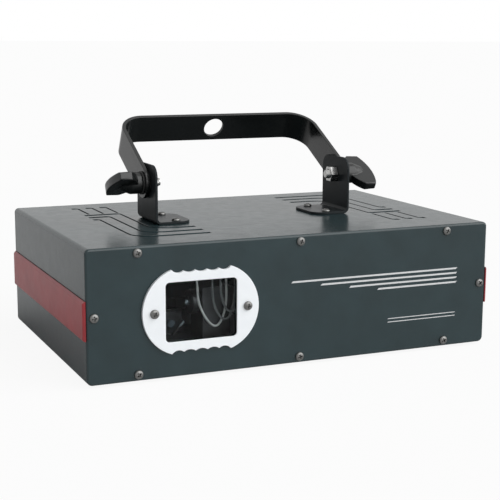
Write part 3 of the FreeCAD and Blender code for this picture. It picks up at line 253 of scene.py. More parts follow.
def powder_coat(name, colour, roughness, contrast=0.12, gloss=0.5, spread=0.02):
    """Stove enamel: fine orange peel, faint clouding and a little change in gloss."""
    made = Finish(name, colour, roughness)
    made.set("Specular IOR Level", gloss)
    made.vary_colour(made.noise(size=22.0, detail=5.0), contrast)
    made.vary_roughness(made.noise(size=6.0, detail=4.0), roughness - spread, roughness + spread)
    made.relief(made.noise(size=1.1, detail=2.0), depth=0.004)
    made.relief(made.noise(size=0.35, detail=2.0), depth=0.003)
    return made.material


def moulded_plastic(name, colour, roughness, grain=0.5, contrast=0.15, spread=0.06):
    """Injection-moulded plastic with a spark-eroded grain."""
    made = Finish(name, colour, roughness)
    made.vary_colour(made.noise(size=9.0, detail=4.0), contrast)
    made.vary_roughness(made.noise(size=3.0, detail=3.0), roughness - spread, roughness + spread)
    made.relief(made.noise(size=grain, detail=2.0), depth=0.025)
    return made.material


def metal(name, colour, roughness, stretch=(1.0, 1.0, 1.0), grain=0.4, depth=0.006):
    """Bare or plated metal with fine tool marks, drawn out along an axis by a small stretch value."""
    smoother, rougher = 0.07, 0.1
    made = Finish(name, colour, roughness, metallic=1.0)
    made.vary_colour(made.noise(size=4.0, detail=4.0), contrast=0.08)
    marks = made.noise(size=grain, detail=3.0, stretch=stretch)
    made.vary_roughness(marks, roughness - smoother, roughness + rougher)
    made.relief(made.noise(size=grain, detail=2.0, stretch=stretch), depth)
    return made.material


def beam_glass():
    """Clear flat window with a few specks of dust, its faint grey tint painted shade that darkens the inside of
    the case.
    """
    # Grey tint: painted shade that dims the view of the inside and the light that gets in through the window.
    made = Finish("beam_glass", (0.78, 0.82, 0.83), roughness=0.02)
    made.set("Transmission Weight", 1.0)
    made.set("IOR", 1.2)
    made.vary_roughness(made.noise(size=2.5, detail=6.0), low=0.0, high=0.05)
    made.relief(made.noise(size=30.0, detail=1.0), depth=0.004)
    return made.material


def lacquered_board():
    """Green solder resist over copper tracks."""
    made = Finish("lacquered_board", (0.012, 0.09, 0.035), roughness=0.32)
    made.vary_colour(made.noise(size=2.2, detail=1.0, stretch=TRACKS), contrast=0.35)
    made.vary_roughness(made.noise(size=5.0, detail=3.0), low=0.25, high=0.42)
    made.relief(made.noise(size=2.2, detail=1.0, stretch=TRACKS), depth=0.02)
    return made.material


def smoked_lens():
    """Dark red filter over the display."""
    made = Finish("smoked_lens", (0.03, 0.002, 0.003), roughness=0.12)
    made.vary_colour(made.noise(size=8.0, detail=3.0), contrast=0.2)
    made.vary_roughness(made.noise(size=4.0, detail=4.0), low=0.08, high=0.18)
    made.relief(made.noise(size=14.0, detail=1.0), depth=0.004)
    return made.material


def mirror_with_painted_shade():
    """First-surface mirror with a little haze, its colour darkened as painted shade for the dim inside of the
    case.
    """
    # Low colour for a mirror: painted shade, so that the mirrors inside the case show little of the white
    # surroundings.
    made = Finish("mirror_with_painted_shade", (0.2, 0.23, 0.25), roughness=0.03, metallic=1.0)
    made.vary_roughness(made.noise(size=2.0, detail=4.0), low=0.01, high=0.06)
    made.vary_colour(made.noise(size=5.0, detail=2.0), contrast=0.03)
    return made.material


def silver_ink():
    """Screen-printed ink with a fine metallic speckle."""
    made = Finish("print_silver", (0.6, 0.61, 0.62), roughness=0.42)
    made.vary_colour(made.noise(size=0.6, detail=3.0), contrast=0.1)
    made.vary_roughness(made.noise(size=1.5, detail=3.0), low=0.36, high=0.5)
    made.relief(made.noise(size=0.5, detail=2.0), depth=0.01)
    return made.material


PAINTS = {
    "housing_paint": dict(colour=(0.016, 0.032, 0.036), roughness=0.245, gloss=0.45),
    "trim_red": dict(colour=(0.36, 0.038, 0.045), roughness=0.36, gloss=0.35),
    "yoke_black": dict(colour=(0.005, 0.006, 0.006), roughness=0.24),
    "bracket_black": dict(colour=(0.022, 0.026, 0.028), roughness=0.3, gloss=0.07),
}
PLASTICS = {
    "bezel_white": dict(colour=(0.83, 0.86, 0.885), roughness=0.38, grain=0.8, contrast=0.02),
    "knob_black": dict(colour=(0.008, 0.009, 0.009), roughness=0.32),
    "washer_fibre": dict(colour=(0.03, 0.03, 0.03), roughness=0.7),
    "socket_black": dict(colour=(0.014, 0.014, 0.015), roughness=0.48, grain=0.4),
    "button_black": dict(colour=(0.03, 0.03, 0.031), roughness=0.45, grain=0.4),
    "foot_rubber": dict(colour=(0.012, 0.012, 0.012), roughness=0.75, grain=0.7),
    "cable_grey": dict(colour=(0.45, 0.45, 0.44), roughness=0.4, grain=0.6),
    "cable_dim": dict(colour=(0.11, 0.115, 0.115), roughness=0.45, grain=0.6),
    "print_white": dict(colour=(0.75, 0.76, 0.76), roughness=0.5, grain=0.5, contrast=0.05),
    "segment_red": dict(colour=(0.09, 0.012, 0.014), roughness=0.3, grain=0.4),
}
METALS = {
    "screw_steel": dict(colour=(0.19, 0.19, 0.185), roughness=0.38),
    "steel": dict(colour=(0.55, 0.55, 0.54), roughness=0.28),
    "socket_metal": dict(colour=(0.5, 0.5, 0.5), roughness=0.34, grain=0.8, depth=0.015),
    "contacts": dict(colour=(0.78, 0.66, 0.42), roughness=0.24),
    "guard_chrome": dict(colour=(0.72, 0.72, 0.73), roughness=0.12, grain=3.0, depth=0.004),
    "bench_aluminium": dict(colour=(0.6, 0.61, 0.62), roughness=0.38, stretch=(0.05, 1.0, 1.0), grain=0.5,
                            depth=0.01),
    "motor_dark": dict(colour=(0.06, 0.06, 0.062), roughness=0.38, stretch=(0.1, 1.0, 1.0)),
    "laser_brass": dict(colour=(0.7, 0.5, 0.22), roughness=0.3, stretch=(1.0, 0.1, 1.0)),
}
finishes = {
    "window": beam_glass(),
    "board_green": lacquered_board(),
    "display_red": smoked_lens(),
    "mirror_glass": mirror_with_painted_shade(),
    "print_silver": silver_ink(),
}
for make, table in ((powder_coat, PAINTS), (moulded_plastic, PLASTICS), (metal, METALS)):
    for name, values in table.items():
        finishes[name] = make(name, **values)


def paint_nodes():
    """Give every CAD node the finish of its slot."""
    for row in frame["record"]["subparts"]:
        mesh = nodes[row["node"]].data
        mesh.materials.clear()
        mesh.materials.append(finishes[row["material_slot"]])


# Meshes

bodies = frame["record"]["behaviour"]["bodies"]
body_of_node = {node: body for body, names in bodies.items() for node in names}
slot_of_node = {row["node"]: row["material_slot"] for row in frame["record"]["subparts"]}
joint_place = {joint["name"]: Vector(joint["pos_m"]) for joint in frame["joints"] if "pos_m" in joint}


def extent(points):
    """Lowest and highest corners of the box round some points."""
    low = Vector(min(p[i] for p in points) for i in range(3))
    high = Vector(max(p[i] for p in points) for i in range(3))
    return low, high


def centre_of(node):
    """Middle of a node's box."""
    low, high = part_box(node)
    return (low + high) / 2


def add_object(name, mesh):
    made = bpy.data.objects.new(name, mesh)
    scene.collection.objects.link(made)
    return made


def mesh_from(work, name):
    """Turn a finished bmesh into a mesh."""
    bmesh.ops.recalc_face_normals(work, faces=work.faces)
    mesh = bpy.data.meshes.new(name)
    work.to_mesh(mesh)
    work.free()
    return mesh


def bake_modifiers(piece):
    """Put the result of a piece's modifiers into its mesh."""
    graph = bpy.context.evaluated_depsgraph_get()
    made = bpy.data.meshes.new_from_object(piece.evaluated_get(graph))
    old = piece.data
    piece.modifiers.clear()
    piece.data = made
    bpy.data.meshes.remove(old)


def smooth_shading(mesh):
    """Smooth faces, with hard edges where the surface turns sharply."""
    mesh.shade_smooth()
    mesh.set_sharp_from_angle(angle=EDGE_ANGLE)


def place_piece(piece, node, finish=None, replaced=()):
    """Let a piece ride with a node's body, in that node's slot and finish, instead of the nodes named."""
    slot = slot_of_node[node]
    piece.data.materials.clear()
    piece.data.materials.append(finishes[finish or slot])
    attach(piece, body_of_node[node])
    if replaced:
        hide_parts(*replaced)
    return piece


def loft(work, rings, closed=False):
    """Skin over rings of vertices, joined into a loop where closed, or else with a lid at each end."""
    if closed:
        rings = rings + rings[:1]
    else:
        work.faces.new(rings[0])
        work.faces.new(reversed(rings[-1]))
    for near, far in zip(rings, rings[1:]):
        for i in range(len(near)):
            j = (i + 1) % len(near)
            work.faces.new((near[j], near[i], far[i], far[j]))


def turned(profile, sides):
    """Bmesh of a profile of (radius, height) points in millimetres, turned about the Z axis."""
    work = bmesh.new()
    points = [work.verts.new((r * MM, 0.0, h * MM)) for r, h in profile]
    edges = [work.edges.new(pair) for pair in zip(points, points[1:])]
    bmesh.ops.spin(work, geom=points + edges, cent=(0, 0, 0), axis=Z_AXIS, angle=2 * math.pi,
                   steps=sides, use_merge=True)
    bmesh.ops.remove_doubles(work, verts=work.verts, dist=JOIN_DISTANCE)
    return work


def cut_away(piece, cutter):
    """Cut one object out of another."""
    cut = piece.modifiers.new("cut", "BOOLEAN")
    cut.operation = "DIFFERENCE"
    cut.solver = "EXACT"
    cut.object = cutter
    bake_modifiers(piece)
    mesh = cutter.data
    bpy.data.objects.remove(cutter)
    bpy.data.meshes.remove(mesh)


def frame_matrix(origin, x_way, z_way):
    """Placing matrix from an origin and the directions of the local X and Z axes."""
    z_way = z_way.normalized()
    x_way = (x_way - x_way.dot(z_way) * z_way).normalized()
    turn = Matrix((x_way, z_way.cross(x_way), z_way)).transposed().to_4x4()
    return Matrix.Translation(origin) @ turn


# Nodes with softer edges

def joined_mesh(node):
    """Copy of a node's mesh with its split vertices joined and its flat faces whole."""
    mesh = nodes[node].data.copy()
    if "custom_normal" in mesh.attributes:
        mesh.attributes.remove(mesh.attributes["custom_normal"])
    work = bmesh.new()
    work.from_mesh(mesh)
    bmesh.ops.remove_doubles(work, verts=work.verts, dist=JOIN_DISTANCE)
    bmesh.ops.dissolve_limit(work, angle_limit=FLAT_ANGLE, verts=work.verts, edges=work.edges)
    work.to_mesh(mesh)
    work.free()
    return mesh


def round_rim(mesh, radius):
    """Round the front outer edges of a plate that faces -Y, by that radius in millimetres."""
    work = bmesh.new()
    work.from_mesh(mesh)
    low, high = extent([v.co for v in work.verts])
    edges = []
    for edge in work.edges:
        middle = (edge.verts[0].co + edge.verts[1].co) / 2
        inset = min(middle.x - low.x, high.x - middle.x, middle.z - low.z, high.z - middle.z)
        at_front = middle.y < low.y + JOIN_DISTANCE
        beside_side = min(abs(face.normal.y) for face in edge.link_faces) < RIM_SIDE_LIMIT
        if at_front and beside_side and inset < RIM_INSET * MM:
            edges.append(edge)
    bmesh.ops.bevel(work, geom=edges, offset=radius * MM, segments=RIM_SEGMENTS, profile=ROUND_PROFILE,
                    affect="EDGES")
    work.to_mesh(mesh)
    work.free()


def softened(node, width, finish=None, rim=0.0):
    """Node with its sharp edges bevelled by that width, and its front rim rounded, in millimetres."""
    piece = add_object(node + "_softened", joined_mesh(node))
    if rim:
        round_rim(piece.data, rim)
    if width:
        bevel = piece.modifiers.new("edges", "BEVEL")
        bevel.width = width * MM
        bevel.segments = EDGE_SEGMENTS
        bevel.limit_method = "ANGLE"
        bevel.angle_limit = EDGE_ANGLE
        bevel.use_clamp_overlap = False
        bevel.loop_slide = False
        bevel.miter_outer = "MITER_SHARP"
    smooth_shading(piece.data)
    even = piece.modifiers.new("even", "WEIGHTED_NORMAL")
    even.weight = NORMAL_WEIGHT
    even.keep_sharp = not width
    bake_modifiers(piece)
    return place_piece(piece, node, finish, [node])


# Cross-head screws, in millimetres and shares of the head

SCREW_SIDES = 36
SCREW_HEAD_HEIGHT = 1.7
SCREW_HEAD_SHARES = ((0.0, 1.0), (0.4, 0.985), (0.66, 0.93), (0.84, 0.8), (0.95, 0.6), (1.0, 0.34),
                     (1.0, 0.1), (0.97, 0.0))
SHANK_RADIUS = 1.5
SHANK_POINT = 0.8
SHANK_TIP_SHARE = 0.55
RECESS_REACH = 1.5
RECESS_WIDTH = 0.42
RECESS_DEPTH = 1.2
RECESS_TAPER = 0.4
RECESS_MOUTH = 1.15
RECESS_RISE = 0.3
RECESS_LIP = 0.1
QUARTER_TURNS = ((1, 0), (0, 1), (-1, 0), (0, -1))


def islands(node):
    """Lowest and highest corners of each separate solid of a node."""
    work = bmesh.new()
    work.from_mesh(nodes[node].data)
    bmesh.ops.remove_doubles(work, verts=work.verts, dist=JOIN_DISTANCE)
    left = set(work.verts)
    boxes = []
    while left:
        group = set()
        front = [min(left, key=lambda v: v.index)]
        while front:
            vertex = front.pop()
            if vertex in group:
                continue
            group.add(vertex)
            front.extend(edge.other_vert(vertex) for edge in vertex.link_edges)
        left -= group
        boxes.append(extent([v.co for v in group]))
    work.free()
    return sorted(boxes, key=lambda box: tuple(round(c, SORT_DIGITS) for c in box[0]))


def cross_points(scale):
    """Outline of a cross about the origin, in millimetres."""
    reach = RECESS_REACH * scale
    half = RECESS_WIDTH * (1 + scale) / 2
    quarter = [(reach, -half), (reach, half), (half, half)]
    return [(x * c - y * s, x * s + y * c) for c, s in QUARTER_TURNS for x, y in quarter]


def cross_cutter(top):
    """Tapered cross that sinks into a screw's head."""
    work = bmesh.new()
    levels = ((RECESS_MOUTH, top + RECESS_RISE), (1.0, top - RECESS_LIP),
              (RECESS_TAPER, top - RECESS_DEPTH))
    rings = []
    for scale, height in levels:
        rings.append([work.verts.new((x * MM, y * MM, height * MM)) for x, y in cross_points(scale)])
    loft(work, rings)
    return add_object("cross_cutter", mesh_from(work, "cross_cutter"))


def screw_master(head_radius, shank_length):
    """Pan-head screw with a cross recess: the seat at the origin and the head along +Z."""
    profile = [(r * head_radius, h * SCREW_HEAD_HEIGHT) for r, h in SCREW_HEAD_SHARES]
    profile += [(SHANK_RADIUS, 0.0), (SHANK_RADIUS, SHANK_POINT - shank_length),
                (SHANK_TIP_SHARE * SHANK_RADIUS, -shank_length), (0.0, -shank_length)]
    work = turned(profile, SCREW_SIDES)
    piece = add_object("screw_master", mesh_from(work, "screw_master"))
    cut_away(piece, cross_cutter(SCREW_HEAD_HEIGHT))
    return piece


def screws(node, outward):
    """All the screws of a node, each with its recess at its own angle."""
    chance = random.Random(node)
    axis = max(range(3), key=lambda i: abs(outward[i]))
    across = (axis + 1) % 3
    sign = 1 if outward[axis] > 0 else -1
    side = Vector((0, 0, 0))
    side[across] = 1.0
    work = bmesh.new()
    master = None
    for low, high in islands(node):
        if master is None:
            radius = (high[across] - low[across]) / 2
            length = high[axis] - low[axis]
            master = screw_master(radius / MM, length / MM - SCREW_HEAD_HEIGHT)
        top = high[axis] if sign > 0 else low[axis]
        seat = (low + high) / 2
        seat[axis] = top - sign * SCREW_HEAD_HEIGHT * MM
        turn = Matrix.Rotation(chance.uniform(0, math.pi / 2), 4, "Z")
        copy = master.data.copy()
        copy.transform(frame_matrix(seat, side, outward) @ turn)
        work.from_mesh(copy)
        bpy.data.meshes.remove(copy)
    mesh = bpy.data.meshes.new(node + "_cross")
    work.to_mesh(mesh)
    work.free()
    old = master.data
    bpy.data.objects.remove(master)
    bpy.data.meshes.remove(old)
    smooth_shading(mesh)
    return place_piece(add_object(node + "_cross", mesh), node, None, [node])


# Wing knobs, in millimetres, with the angles that they stand at in degrees

KNOB_HUB = 7.0
KNOB_HUB_LENGTH = 7.0
KNOB_HUB_CHAMFER = 0.5
KNOB_HUB_SIDES = 48
KNOB_CORE = 4.4
KNOB_CORE_LENGTH = 7.0
KNOB_DOME_RISE = 0.8
KNOB_DOME_SHOULDER = 0.5
KNOB_DOME_INSET = 1.0
KNOB_DOME_DROP = 0.3
KNOB_ROOT = 4.0
KNOB_REACH = 17.0
KNOB_TIP_LOW = 10.5
KNOB_TIP_HIGH = 18.0
KNOB_CROWN = 21.5
KNOB_SWEEP = 0.35
KNOB_THICKNESS = 5.6
KNOB_EDGE = 0.9
KNOB_EDGE_SEGMENTS = 3
KNOB_EDGE_ANGLE = math.radians(50.0)
KNOB_TIP_ROUND = 1.6
KNOB_TIP_SEGMENTS = 4
KNOB_TIP_SLACK = 0.01
KNOB_VOXEL = 0.3
KNOB_EASE = 0.5
KNOB_SMOOTHING = 4
KNOB_ARC_STEPS = 20
KNOB_ANGLE_LEFT = -24.0
KNOB_ANGLE_RIGHT = 28.0


def arc_points(start, middle, end, steps):
    """Points along the circle through three points of a plane, from the first to the last."""
    (ax, ay), (bx, by), (cx, cy) = start, middle, end
    d = 2 * (ax * (by - cy) + bx * (cy - ay) + cx * (ay - by))
    a, b, c = ax * ax + ay * ay, bx * bx + by * by, cx * cx + cy * cy
    x = (a * (by - cy) + b * (cy - ay) + c * (ay - by)) / d
    y = (a * (cx - bx) + b * (ax - cx) + c * (bx - ax)) / d
    radius = math.hypot(ax - x, ay - y)
    first, mid, last = (math.atan2(q - y, p - x) for p, q in (start, middle, end))
    turn = 2 * math.pi
    sweep = (last - first) % turn
    if (mid - first) % turn > sweep:
        sweep -= turn
    angles = [first + sweep * i / steps for i in range(steps + 1)]
    return [(x + radius * math.cos(t), y + radius * math.sin(t)) for t in angles]


def wing_outline():
    """Closed outline of both wings as (along the wings, outwards)."""
    root, tip = (-KNOB_HUB, KNOB_ROOT), (-KNOB_REACH, KNOB_TIP_LOW)
    mid = ((root[0] + tip[0]) / 2, KNOB_ROOT + (KNOB_TIP_LOW - KNOB_ROOT) * KNOB_SWEEP)
    left = arc_points(root, mid, tip, KNOB_ARC_STEPS)
    corner, top = (-KNOB_REACH, KNOB_TIP_HIGH), (0.0, KNOB_CROWN)
    crown = arc_points(corner, top, (KNOB_REACH, KNOB_TIP_HIGH), KNOB_ARC_STEPS)
    return left + crown + [(-w, u) for w, u in reversed(left)]


def wing_plate(name):
    """Both wings as one plate, with rounded tips and edges."""
    half = KNOB_THICKNESS / 2
    outline = wing_outline()
    work = bmesh.new()
    loft(work, [[work.verts.new((w * MM, y * MM, u * MM)) for w, u in outline] for y in (-half, half)])
    ends = []
    for edge in work.edges:
        a, b = (vertex.co for vertex in edge.verts)
        lengthwise = max(abs(a.x - b.x), abs(a.y - b.y)) < KNOB_TIP_SLACK * MM
        if lengthwise and abs(a.x) > (KNOB_REACH - KNOB_TIP_SLACK) * MM:
            ends.append(edge)
    bmesh.ops.bevel(work, geom=ends, offset=KNOB_TIP_ROUND * MM, segments=KNOB_TIP_SEGMENTS,
                    profile=ROUND_PROFILE, affect="EDGES")
    piece = add_object(name, mesh_from(work, name))
    edges = piece.modifiers.new("edges", "BEVEL")
    edges.width = KNOB_EDGE * MM
    edges.segments = KNOB_EDGE_SEGMENTS
    edges.limit_method = "ANGLE"
    edges.angle_limit = KNOB_EDGE_ANGLE
    bake_modifiers(piece)
    return piece


def knob_hub():
    """Bmesh of the tapered hub, from its seat to its domed end."""
    top = KNOB_HUB_LENGTH + KNOB_CORE_LENGTH
    profile = [(0.0, top + KNOB_DOME_RISE), (KNOB_CORE - KNOB_DOME_INSET, top + KNOB_DOME_SHOULDER),
               (KNOB_CORE, top - KNOB_DOME_DROP), (KNOB_HUB, KNOB_HUB_LENGTH),
               (KNOB_HUB, KNOB_HUB_CHAMFER), (KNOB_HUB - KNOB_HUB_CHAMFER, 0.0), (0.0, 0.0)]
    return turned(profile, KNOB_HUB_SIDES)


def wing_knob(side, angle):
    """Moulded knob: a hub and two crowned wings, the front one lowered by the angle in degrees."""
    node = "knob_" + side
    piece = wing_plate(node + "_moulded")
    hub = knob_hub()
    hub.from_mesh(piece.data)
    hub.to_mesh(piece.data)
    hub.free()
    skin = piece.modifiers.new("skin", "REMESH")
    skin.mode = "VOXEL"
    skin.voxel_size = KNOB_VOXEL * MM
    ease = piece.modifiers.new("ease", "SMOOTH")
    ease.factor = KNOB_EASE
    ease.iterations = KNOB_SMOOTHING
    bake_modifiers(piece)
    turn = math.radians(angle)
    front_wing = Vector((0.0, -math.cos(turn), -math.sin(turn)))
    outward = -X_AXIS if side == "left" else X_AXIS
    piece.data.transform(frame_matrix(joint_place[node + "_turn"], front_wing, outward))
    piece.data.shade_smooth()
    return place_piece(piece, node, None, [node])


# Threaded studs, in millimetres

THREAD_PITCH = 1.0
THREAD_DEPTH = 0.45
THREAD_CHAMFER = 0.7
THREAD_SIDES = 40


def threaded_stud(node):
    """Stud with thread ridges and chamfered ends."""
    low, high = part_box(node)
    length = (high.x - low.x) / MM
    radius = (high.z - low.z) / 2 / MM
    profile = [(0.0, 0.0), (radius - THREAD_CHAMFER, 0.0)]
    place = THREAD_CHAMFER
    while place < length - THREAD_CHAMFER:
        profile += [(radius, place), (radius - THREAD_DEPTH, place + THREAD_PITCH / 2)]
        place += THREAD_PITCH
    profile += [(radius - THREAD_CHAMFER, length), (0.0, length)]
    piece = add_object(node + "_threaded", mesh_from(turned(profile, THREAD_SIDES), node + "_threaded"))
    seat = (low + high) / 2
    seat.x = low.x
    piece.data.transform(frame_matrix(seat, Z_AXIS, X_AXIS))
    smooth_shading(piece.data)
    return place_piece(piece, node, None, [node])


# Finger guard of round wire, in millimetres

GUARD_RINGS = (6.5, 12.5, 18.5)
GUARD_WIRE = 0.8
GUARD_EYE = 2.4
GUARD_EYE_SPACING = 32.0
GUARD_STEPS = 72
GUARD_EYE_STEPS = 28
GUARD_SIDES = 10


def wire_loop(work, points, radius, closed):
    """Add round wire along points that lie in a plane facing along Y."""
    rings = []
    count = len(points)
    for i, point in enumerate(points):
        back = points[i - 1] if closed or i else point
        ahead = points[(i + 1) % count] if closed or i < count - 1 else point
        side = (ahead - back).normalized().cross(Y_AXIS).normalized()
        ring = []
        for k in range(GUARD_SIDES):
            t = 2 * math.pi * k / GUARD_SIDES
            ring.append(work.verts.new(point + radius * (math.cos(t) * side + math.sin(t) * Y_AXIS)))
        rings.append(ring)
    loft(work, rings, closed)


def circle_points(centre, radius, steps):
    """Points round a circle that faces along Y, in metres."""
    angles = [2 * math.pi * i / steps for i in range(steps)]
    return [centre + radius * Vector((math.cos(t), 0.0, math.sin(t))) for t in angles]


def wire_guard():
    """Chromed guard: three rings, four spokes and a bent eye round each screw."""
    centre = centre_of("fan_guard")
    wire = GUARD_WIRE * MM
    work = bmesh.new()
    for radius in GUARD_RINGS:
        wire_loop(work, circle_points(centre, radius * MM, GUARD_STEPS), wire, True)
    for across in (-1, 1):
        for up in (-1, 1):
            corner = Vector((across, 0.0, up))
            way = corner.normalized()
            eye = centre + corner * GUARD_EYE_SPACING / 2 * MM
            spoke = [centre + way * GUARD_RINGS[0] * MM, eye - way * GUARD_EYE * MM]
            wire_loop(work, spoke, wire, False)
            wire_loop(work, circle_points(eye, GUARD_EYE * MM, GUARD_EYE_STEPS), wire, True)
    piece = add_object("fan_guard_wire", mesh_from(work, "fan_guard_wire"))
    smooth_shading(piece.data)
    return place_piece(piece, "fan_guard", None, ["fan_guard"])


# Cables behind the window: the solids' routes, as shares of the window's half width and half height

CABLE_ROUTES = (
    ((0.04, 0.34), (0.22, -0.30), (0.48, -0.75), (0.68, -0.76),
     (0.84, -0.35), (0.91, 0.15), (0.89, 0.84)),
    ((0.44, 0.45), (0.54, -0.15), (0.74, -0.52), (0.92, -0.52),
     (1.05, -0.15), (1.13, 0.39), (1.11, 1.01)),
    ((0.64, 0.62), (0.74, 0.05), (0.87, -0.25), (1.06, -0.25),
     (1.15, 0.06), (1.18, 0.73), (1.16, 1.23)),
)
# Lengths in metres, other sizes in millimetres
CABLE_LENGTHS = (0.110, 0.100, 0.090)
CABLE_RADIUS = 0.7
CABLE_SETBACK = 9.5
CABLE_LAYER = 2.0
CABLE_ROUND_STEPS = 4
CABLE_LINE_STEPS = 16
WINDOW_HALF_WIDTH = 22.5
WINDOW_HALF_HEIGHT = 17.85
COVER_SHEET = 1.2


def cables():
    """Thin cables that hang in loops from the cover, beside the scanner."""
    centre = centre_of("bezel")
    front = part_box("front_panel")[0].y
    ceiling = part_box("top_cover")[1].z - COVER_SHEET * MM
    wide, tall = WINDOW_HALF_WIDTH * MM, WINDOW_HALF_HEIGHT * MM
    for i, (route, length) in enumerate(zip(CABLE_ROUTES, CABLE_LENGTHS)):
        depth = front + (CABLE_SETBACK - i * CABLE_LAYER) * MM
        points = [(centre.x + across * wide, depth, centre.z + up * tall) for across, up in route]
        points = [(points[0][0], depth, ceiling)] + points + [(points[-1][0], depth, ceiling)]
        curve = bpy.data.curves.new("scan_cable_%d" % (i + 1), "CURVE")
        curve.dimensions = "3D"
        curve.bevel_depth = CABLE_RADIUS * MM
        curve.bevel_resolution = CABLE_ROUND_STEPS
        curve.resolution_u = CABLE_LINE_STEPS
        curve.use_fill_caps = True
        spline = curve.splines.new("NURBS")
        spline.points.add(len(points) - 1)
        for point, place in zip(spline.points, points):
            point.co = (*place, 1.0)
        spline.order_u = 3
        spline.use_endpoint_u = True
        finish = "cable_dim" if i else "cable_grey"
        piece = place_piece(add_object(curve.name, curve), "scan_cables", finish, ["scan_cables"])


# Flat prints and marks, in millimetres, on a surface that faces along -Y or Y

PRINT_THICKNESS = 0.05
FACING_FRONT = -1.0
FACING_REAR = 1.0


def printed(name, shapes, node, finish, facing=FACING_FRONT, sink=0.0):
    """Thin ink layer on a node's front or rear: each shape is a list of (x, z) corners in metres.
    The corners are laid on the node's surface along Y, or below it by as many millimetres as it sinks."""
    mesh = nodes[node].data
    faces = [tuple(face.vertices) for face in mesh.polygons]
    surface = BVHTree.FromPolygons([v.co for v in mesh.vertices], faces)
    outward = facing * Y_AXIS
    work = bmesh.new()
    for shape in shapes:
        hits = [surface.ray_cast(Vector((x, facing, z)), -outward)[0] for x, z in shape]
        laid = [hit - sink * MM * outward for hit in hits]
        under = [work.verts.new(p) for p in laid]
        over = [work.verts.new(p + PRINT_THICKNESS * MM * outward) for p in laid]
        loft(work, [over, under])
    return place_piece(add_object(name, mesh_from(work, name)), node, finish)


def bar(x, z, width, height, turn=0.0):
    """Corners of a rectangle about a centre, in metres, turned by an angle in radians."""
    c, s = math.cos(turn), math.sin(turn)
    a, b = width / 2, height / 2
    return [(x + p * c - q * s, z + p * s + q * c) for p, q in ((-a, -b), (a, -b), (a, b), (-a, b))]


def ring_shapes(x, z, inner, outer, steps):
    """Quadrilaterals that make up a ring about a centre, in metres."""
    shapes = []
    for i in range(steps):
        a, b = (2 * math.pi * k / steps for k in (i, i + 1))
        corners = ((inner, a), (outer, a), (outer, b), (inner, b))
        shapes.append([(x + r * math.cos(t), z + r * math.sin(t)) for r, t in corners])
    return shapes


# Display digits, in millimetres

DIGIT_COUNT = 4
DIGIT_PITCH = 6.6
DIGIT_WIDTH = 4.2
DIGIT_HEIGHT = 8.4
DIGIT_BAR = 0.85
DIGIT_GAP = 0.18


def segment(x, z, length, upright):
    """Six-cornered bar of a numeric display about a centre, in metres."""
    half = length / 2
    thick = DIGIT_BAR * MM / 2
    flat = half - thick
    corners = [(-half, 0.0), (-flat, -thick), (flat, -thick), (half, 0.0), (flat, thick), (-flat, thick)]
    if upright:
        corners = [(-b, a) for a, b in corners]
    return [(x + a, z + b) for a, b in corners]


def display_digits():
    """Unlit seven-bar digits, laid on the display's filter."""
    centre = centre_of("display_module")
    wide, tall = DIGIT_WIDTH * MM, DIGIT_HEIGHT * MM / 2
    gap = 2 * DIGIT_GAP * MM
    shapes = []
    for i in range(DIGIT_COUNT):
        x = centre.x + (i - (DIGIT_COUNT - 1) / 2) * DIGIT_PITCH * MM
        shapes += [segment(x, centre.z + step * tall, wide - gap, False) for step in (-1, 0, 1)]
        shapes += [segment(x + side * wide / 2, centre.z + step * tall / 2, tall - gap, True)
                   for side in (-1, 1) for step in (-1, 1)]
    printed("display_digits", shapes, "display_module", "segment_red", FACING_REAR)


# Dial of the sensitivity control, in millimetres and degrees

DIAL_TICKS = 11
DIAL_TICK_GROUP = 5
DIAL_SPAN = 300.0
DIAL_TOP = 90.0
DIAL_INNER = 8.8
DIAL_OUTER = 10.6
DIAL_WIDE_TICK = 0.7
DIAL_NARROW_TICK = 0.4
POINTER_INNER = 1.5
POINTER_OUTER = 5.0
POINTER_WIDTH = 0.9
POINTER_DEPTH = 0.4


def groove_cutter(corners, top):
    """Block over a list of (x, z) corners that reaches below a face at that Y by the pointer's depth."""
    work = bmesh.new()
    heights = (top - POINTER_DEPTH * MM, top + POINTER_DEPTH * MM)
    loft(work, [[work.verts.new((x, y, z)) for x, z in corners] for y in heights])
    return add_object("groove_cutter", mesh_from(work, "groove_cutter"))


def dial_marks(knob):
    """Ticks round the sensitivity control and a white pointer sunk in its knob."""
    centre = centre_of("sensitivity_knob")
    middle = (DIAL_INNER + DIAL_OUTER) / 2 * MM
    ticks = []
    for i in range(DIAL_TICKS):
        angle = math.radians(DIAL_TOP - DIAL_SPAN / 2 + DIAL_SPAN * i / (DIAL_TICKS - 1))
        width = DIAL_NARROW_TICK if i % DIAL_TICK_GROUP else DIAL_WIDE_TICK
        x, z = centre.x + middle * math.cos(angle), centre.z + middle * math.sin(angle)
        ticks.append(bar(x, z, (DIAL_OUTER - DIAL_INNER) * MM, width * MM, angle))
    printed("dial_ticks", ticks, "rear_panel", "print_silver", FACING_REAR)
    rise = (POINTER_INNER + POINTER_OUTER) / 2 * MM
    length = (POINTER_OUTER - POINTER_INNER) * MM
    pointer = bar(centre.x, centre.z + rise, POINTER_WIDTH * MM, length)
    cut_away(knob, groove_cutter(pointer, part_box("sensitivity_knob")[1].y))
    printed("dial_pointer", [pointer], "sensitivity_knob", "print_white", FACING_REAR, POINTER_DEPTH)


# Marks on the power switch, in millimetres

ROCKER_BAR_WIDTH = 0.8
ROCKER_BAR_HEIGHT = 3.2
ROCKER_RING_INNER = 1.2
ROCKER_RING_OUTER = 1.9
ROCKER_RING_STEPS = 24


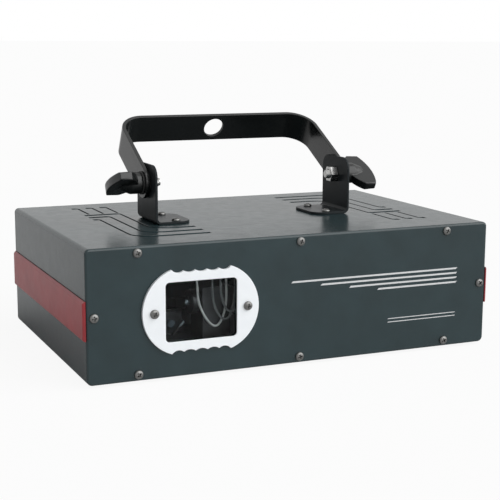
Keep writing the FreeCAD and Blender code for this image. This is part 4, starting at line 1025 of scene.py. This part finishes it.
def rocker_marks():
    """On and off marks printed in white on the rocker's two halves."""
    low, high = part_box("switch_rocker")
    centre = (low + high) / 2
    shift = (high.z - low.z) / 4
    shapes = [bar(centre.x, centre.z + shift, ROCKER_BAR_WIDTH * MM, ROCKER_BAR_HEIGHT * MM)]
    shapes += ring_shapes(centre.x, centre.z - shift, ROCKER_RING_INNER * MM, ROCKER_RING_OUTER * MM,
                          ROCKER_RING_STEPS)
    printed("rocker_marks", shapes, "switch_rocker", "print_white", FACING_REAR)


# Plain stripes on the front, each by its left end, height and thickness in millimetres

STRIPE_RIGHT = 112.0
STRIPES = (
    (-6.0, 53.0, 1.1),
    (14.0, 50.0, 1.1),
    (34.0, 47.0, 1.1),
    (54.0, 44.0, 1.1),
    (62.0, 24.0, 0.5),
    (62.0, 21.8, 0.5),
)


def front_stripes():
    """Plain silver stripes with slanted ends."""
    right = STRIPE_RIGHT * MM
    shapes = []
    for row in STRIPES:
        left, height, thick = (value * MM for value in row)
        low, high = height - thick / 2, height + thick / 2
        shapes.append([(left, low), (right, low), (right + thick, high), (left + thick, high)])
    printed("front_stripes", shapes, "front_panel", "print_silver")


# The whole scene

paint_nodes()
make_camera()
make_world()
make_floor()
make_key()

softened("front_panel", 0.0, rim=FRONT_RIM)
for node in ("bezel", "yoke", "side_trim_left", "side_trim_right"):
    softened(node, PLATE_EDGE)
for node in ("bracket_left", "bracket_right"):
    softened(node, PLATE_EDGE, "bracket_black")
for node in ("top_cover", "rear_panel", "inlet_blades", "dmx_in_pins", "friction_washers"):
    softened(node, SHEET_EDGE)
for node in ("clamp_washer_left", "clamp_washer_right"):
    softened(node, SHEET_EDGE, "washer_fibre")
for node in ("power_inlet", "fuse_drawer", "switch_body", "fan_frame"):
    softened(node, FINE_EDGE)
for node in ("switch_rocker", "dmx_in_socket", "dmx_out_socket", "dmx_out_insert", "display_module",
             "pivot_nuts"):
    softened(node, MOULDED_EDGE)
for node in ("menu_button_1", "menu_button_2", "menu_button_3", "menu_button_4", "feet"):
    softened(node, SOFT_EDGE)
for node in ("front_panel_screws", "bezel_screws"):
    screws(node, -Y_AXIS)
screws("rear_screws", Y_AXIS)
screws("bracket_screws", Z_AXIS)
screws("base_screws", -Z_AXIS)
wing_knob("left", KNOB_ANGLE_LEFT)
wing_knob("right", KNOB_ANGLE_RIGHT)
threaded_stud("stud_left")
threaded_stud("stud_right")
wire_guard()
display_digits()
dial_marks(softened("sensitivity_knob", MOULDED_EDGE))
rocker_marks()
front_stripes()
cables()

bpy.context.scene.view_settings.view_transform = "Standard"
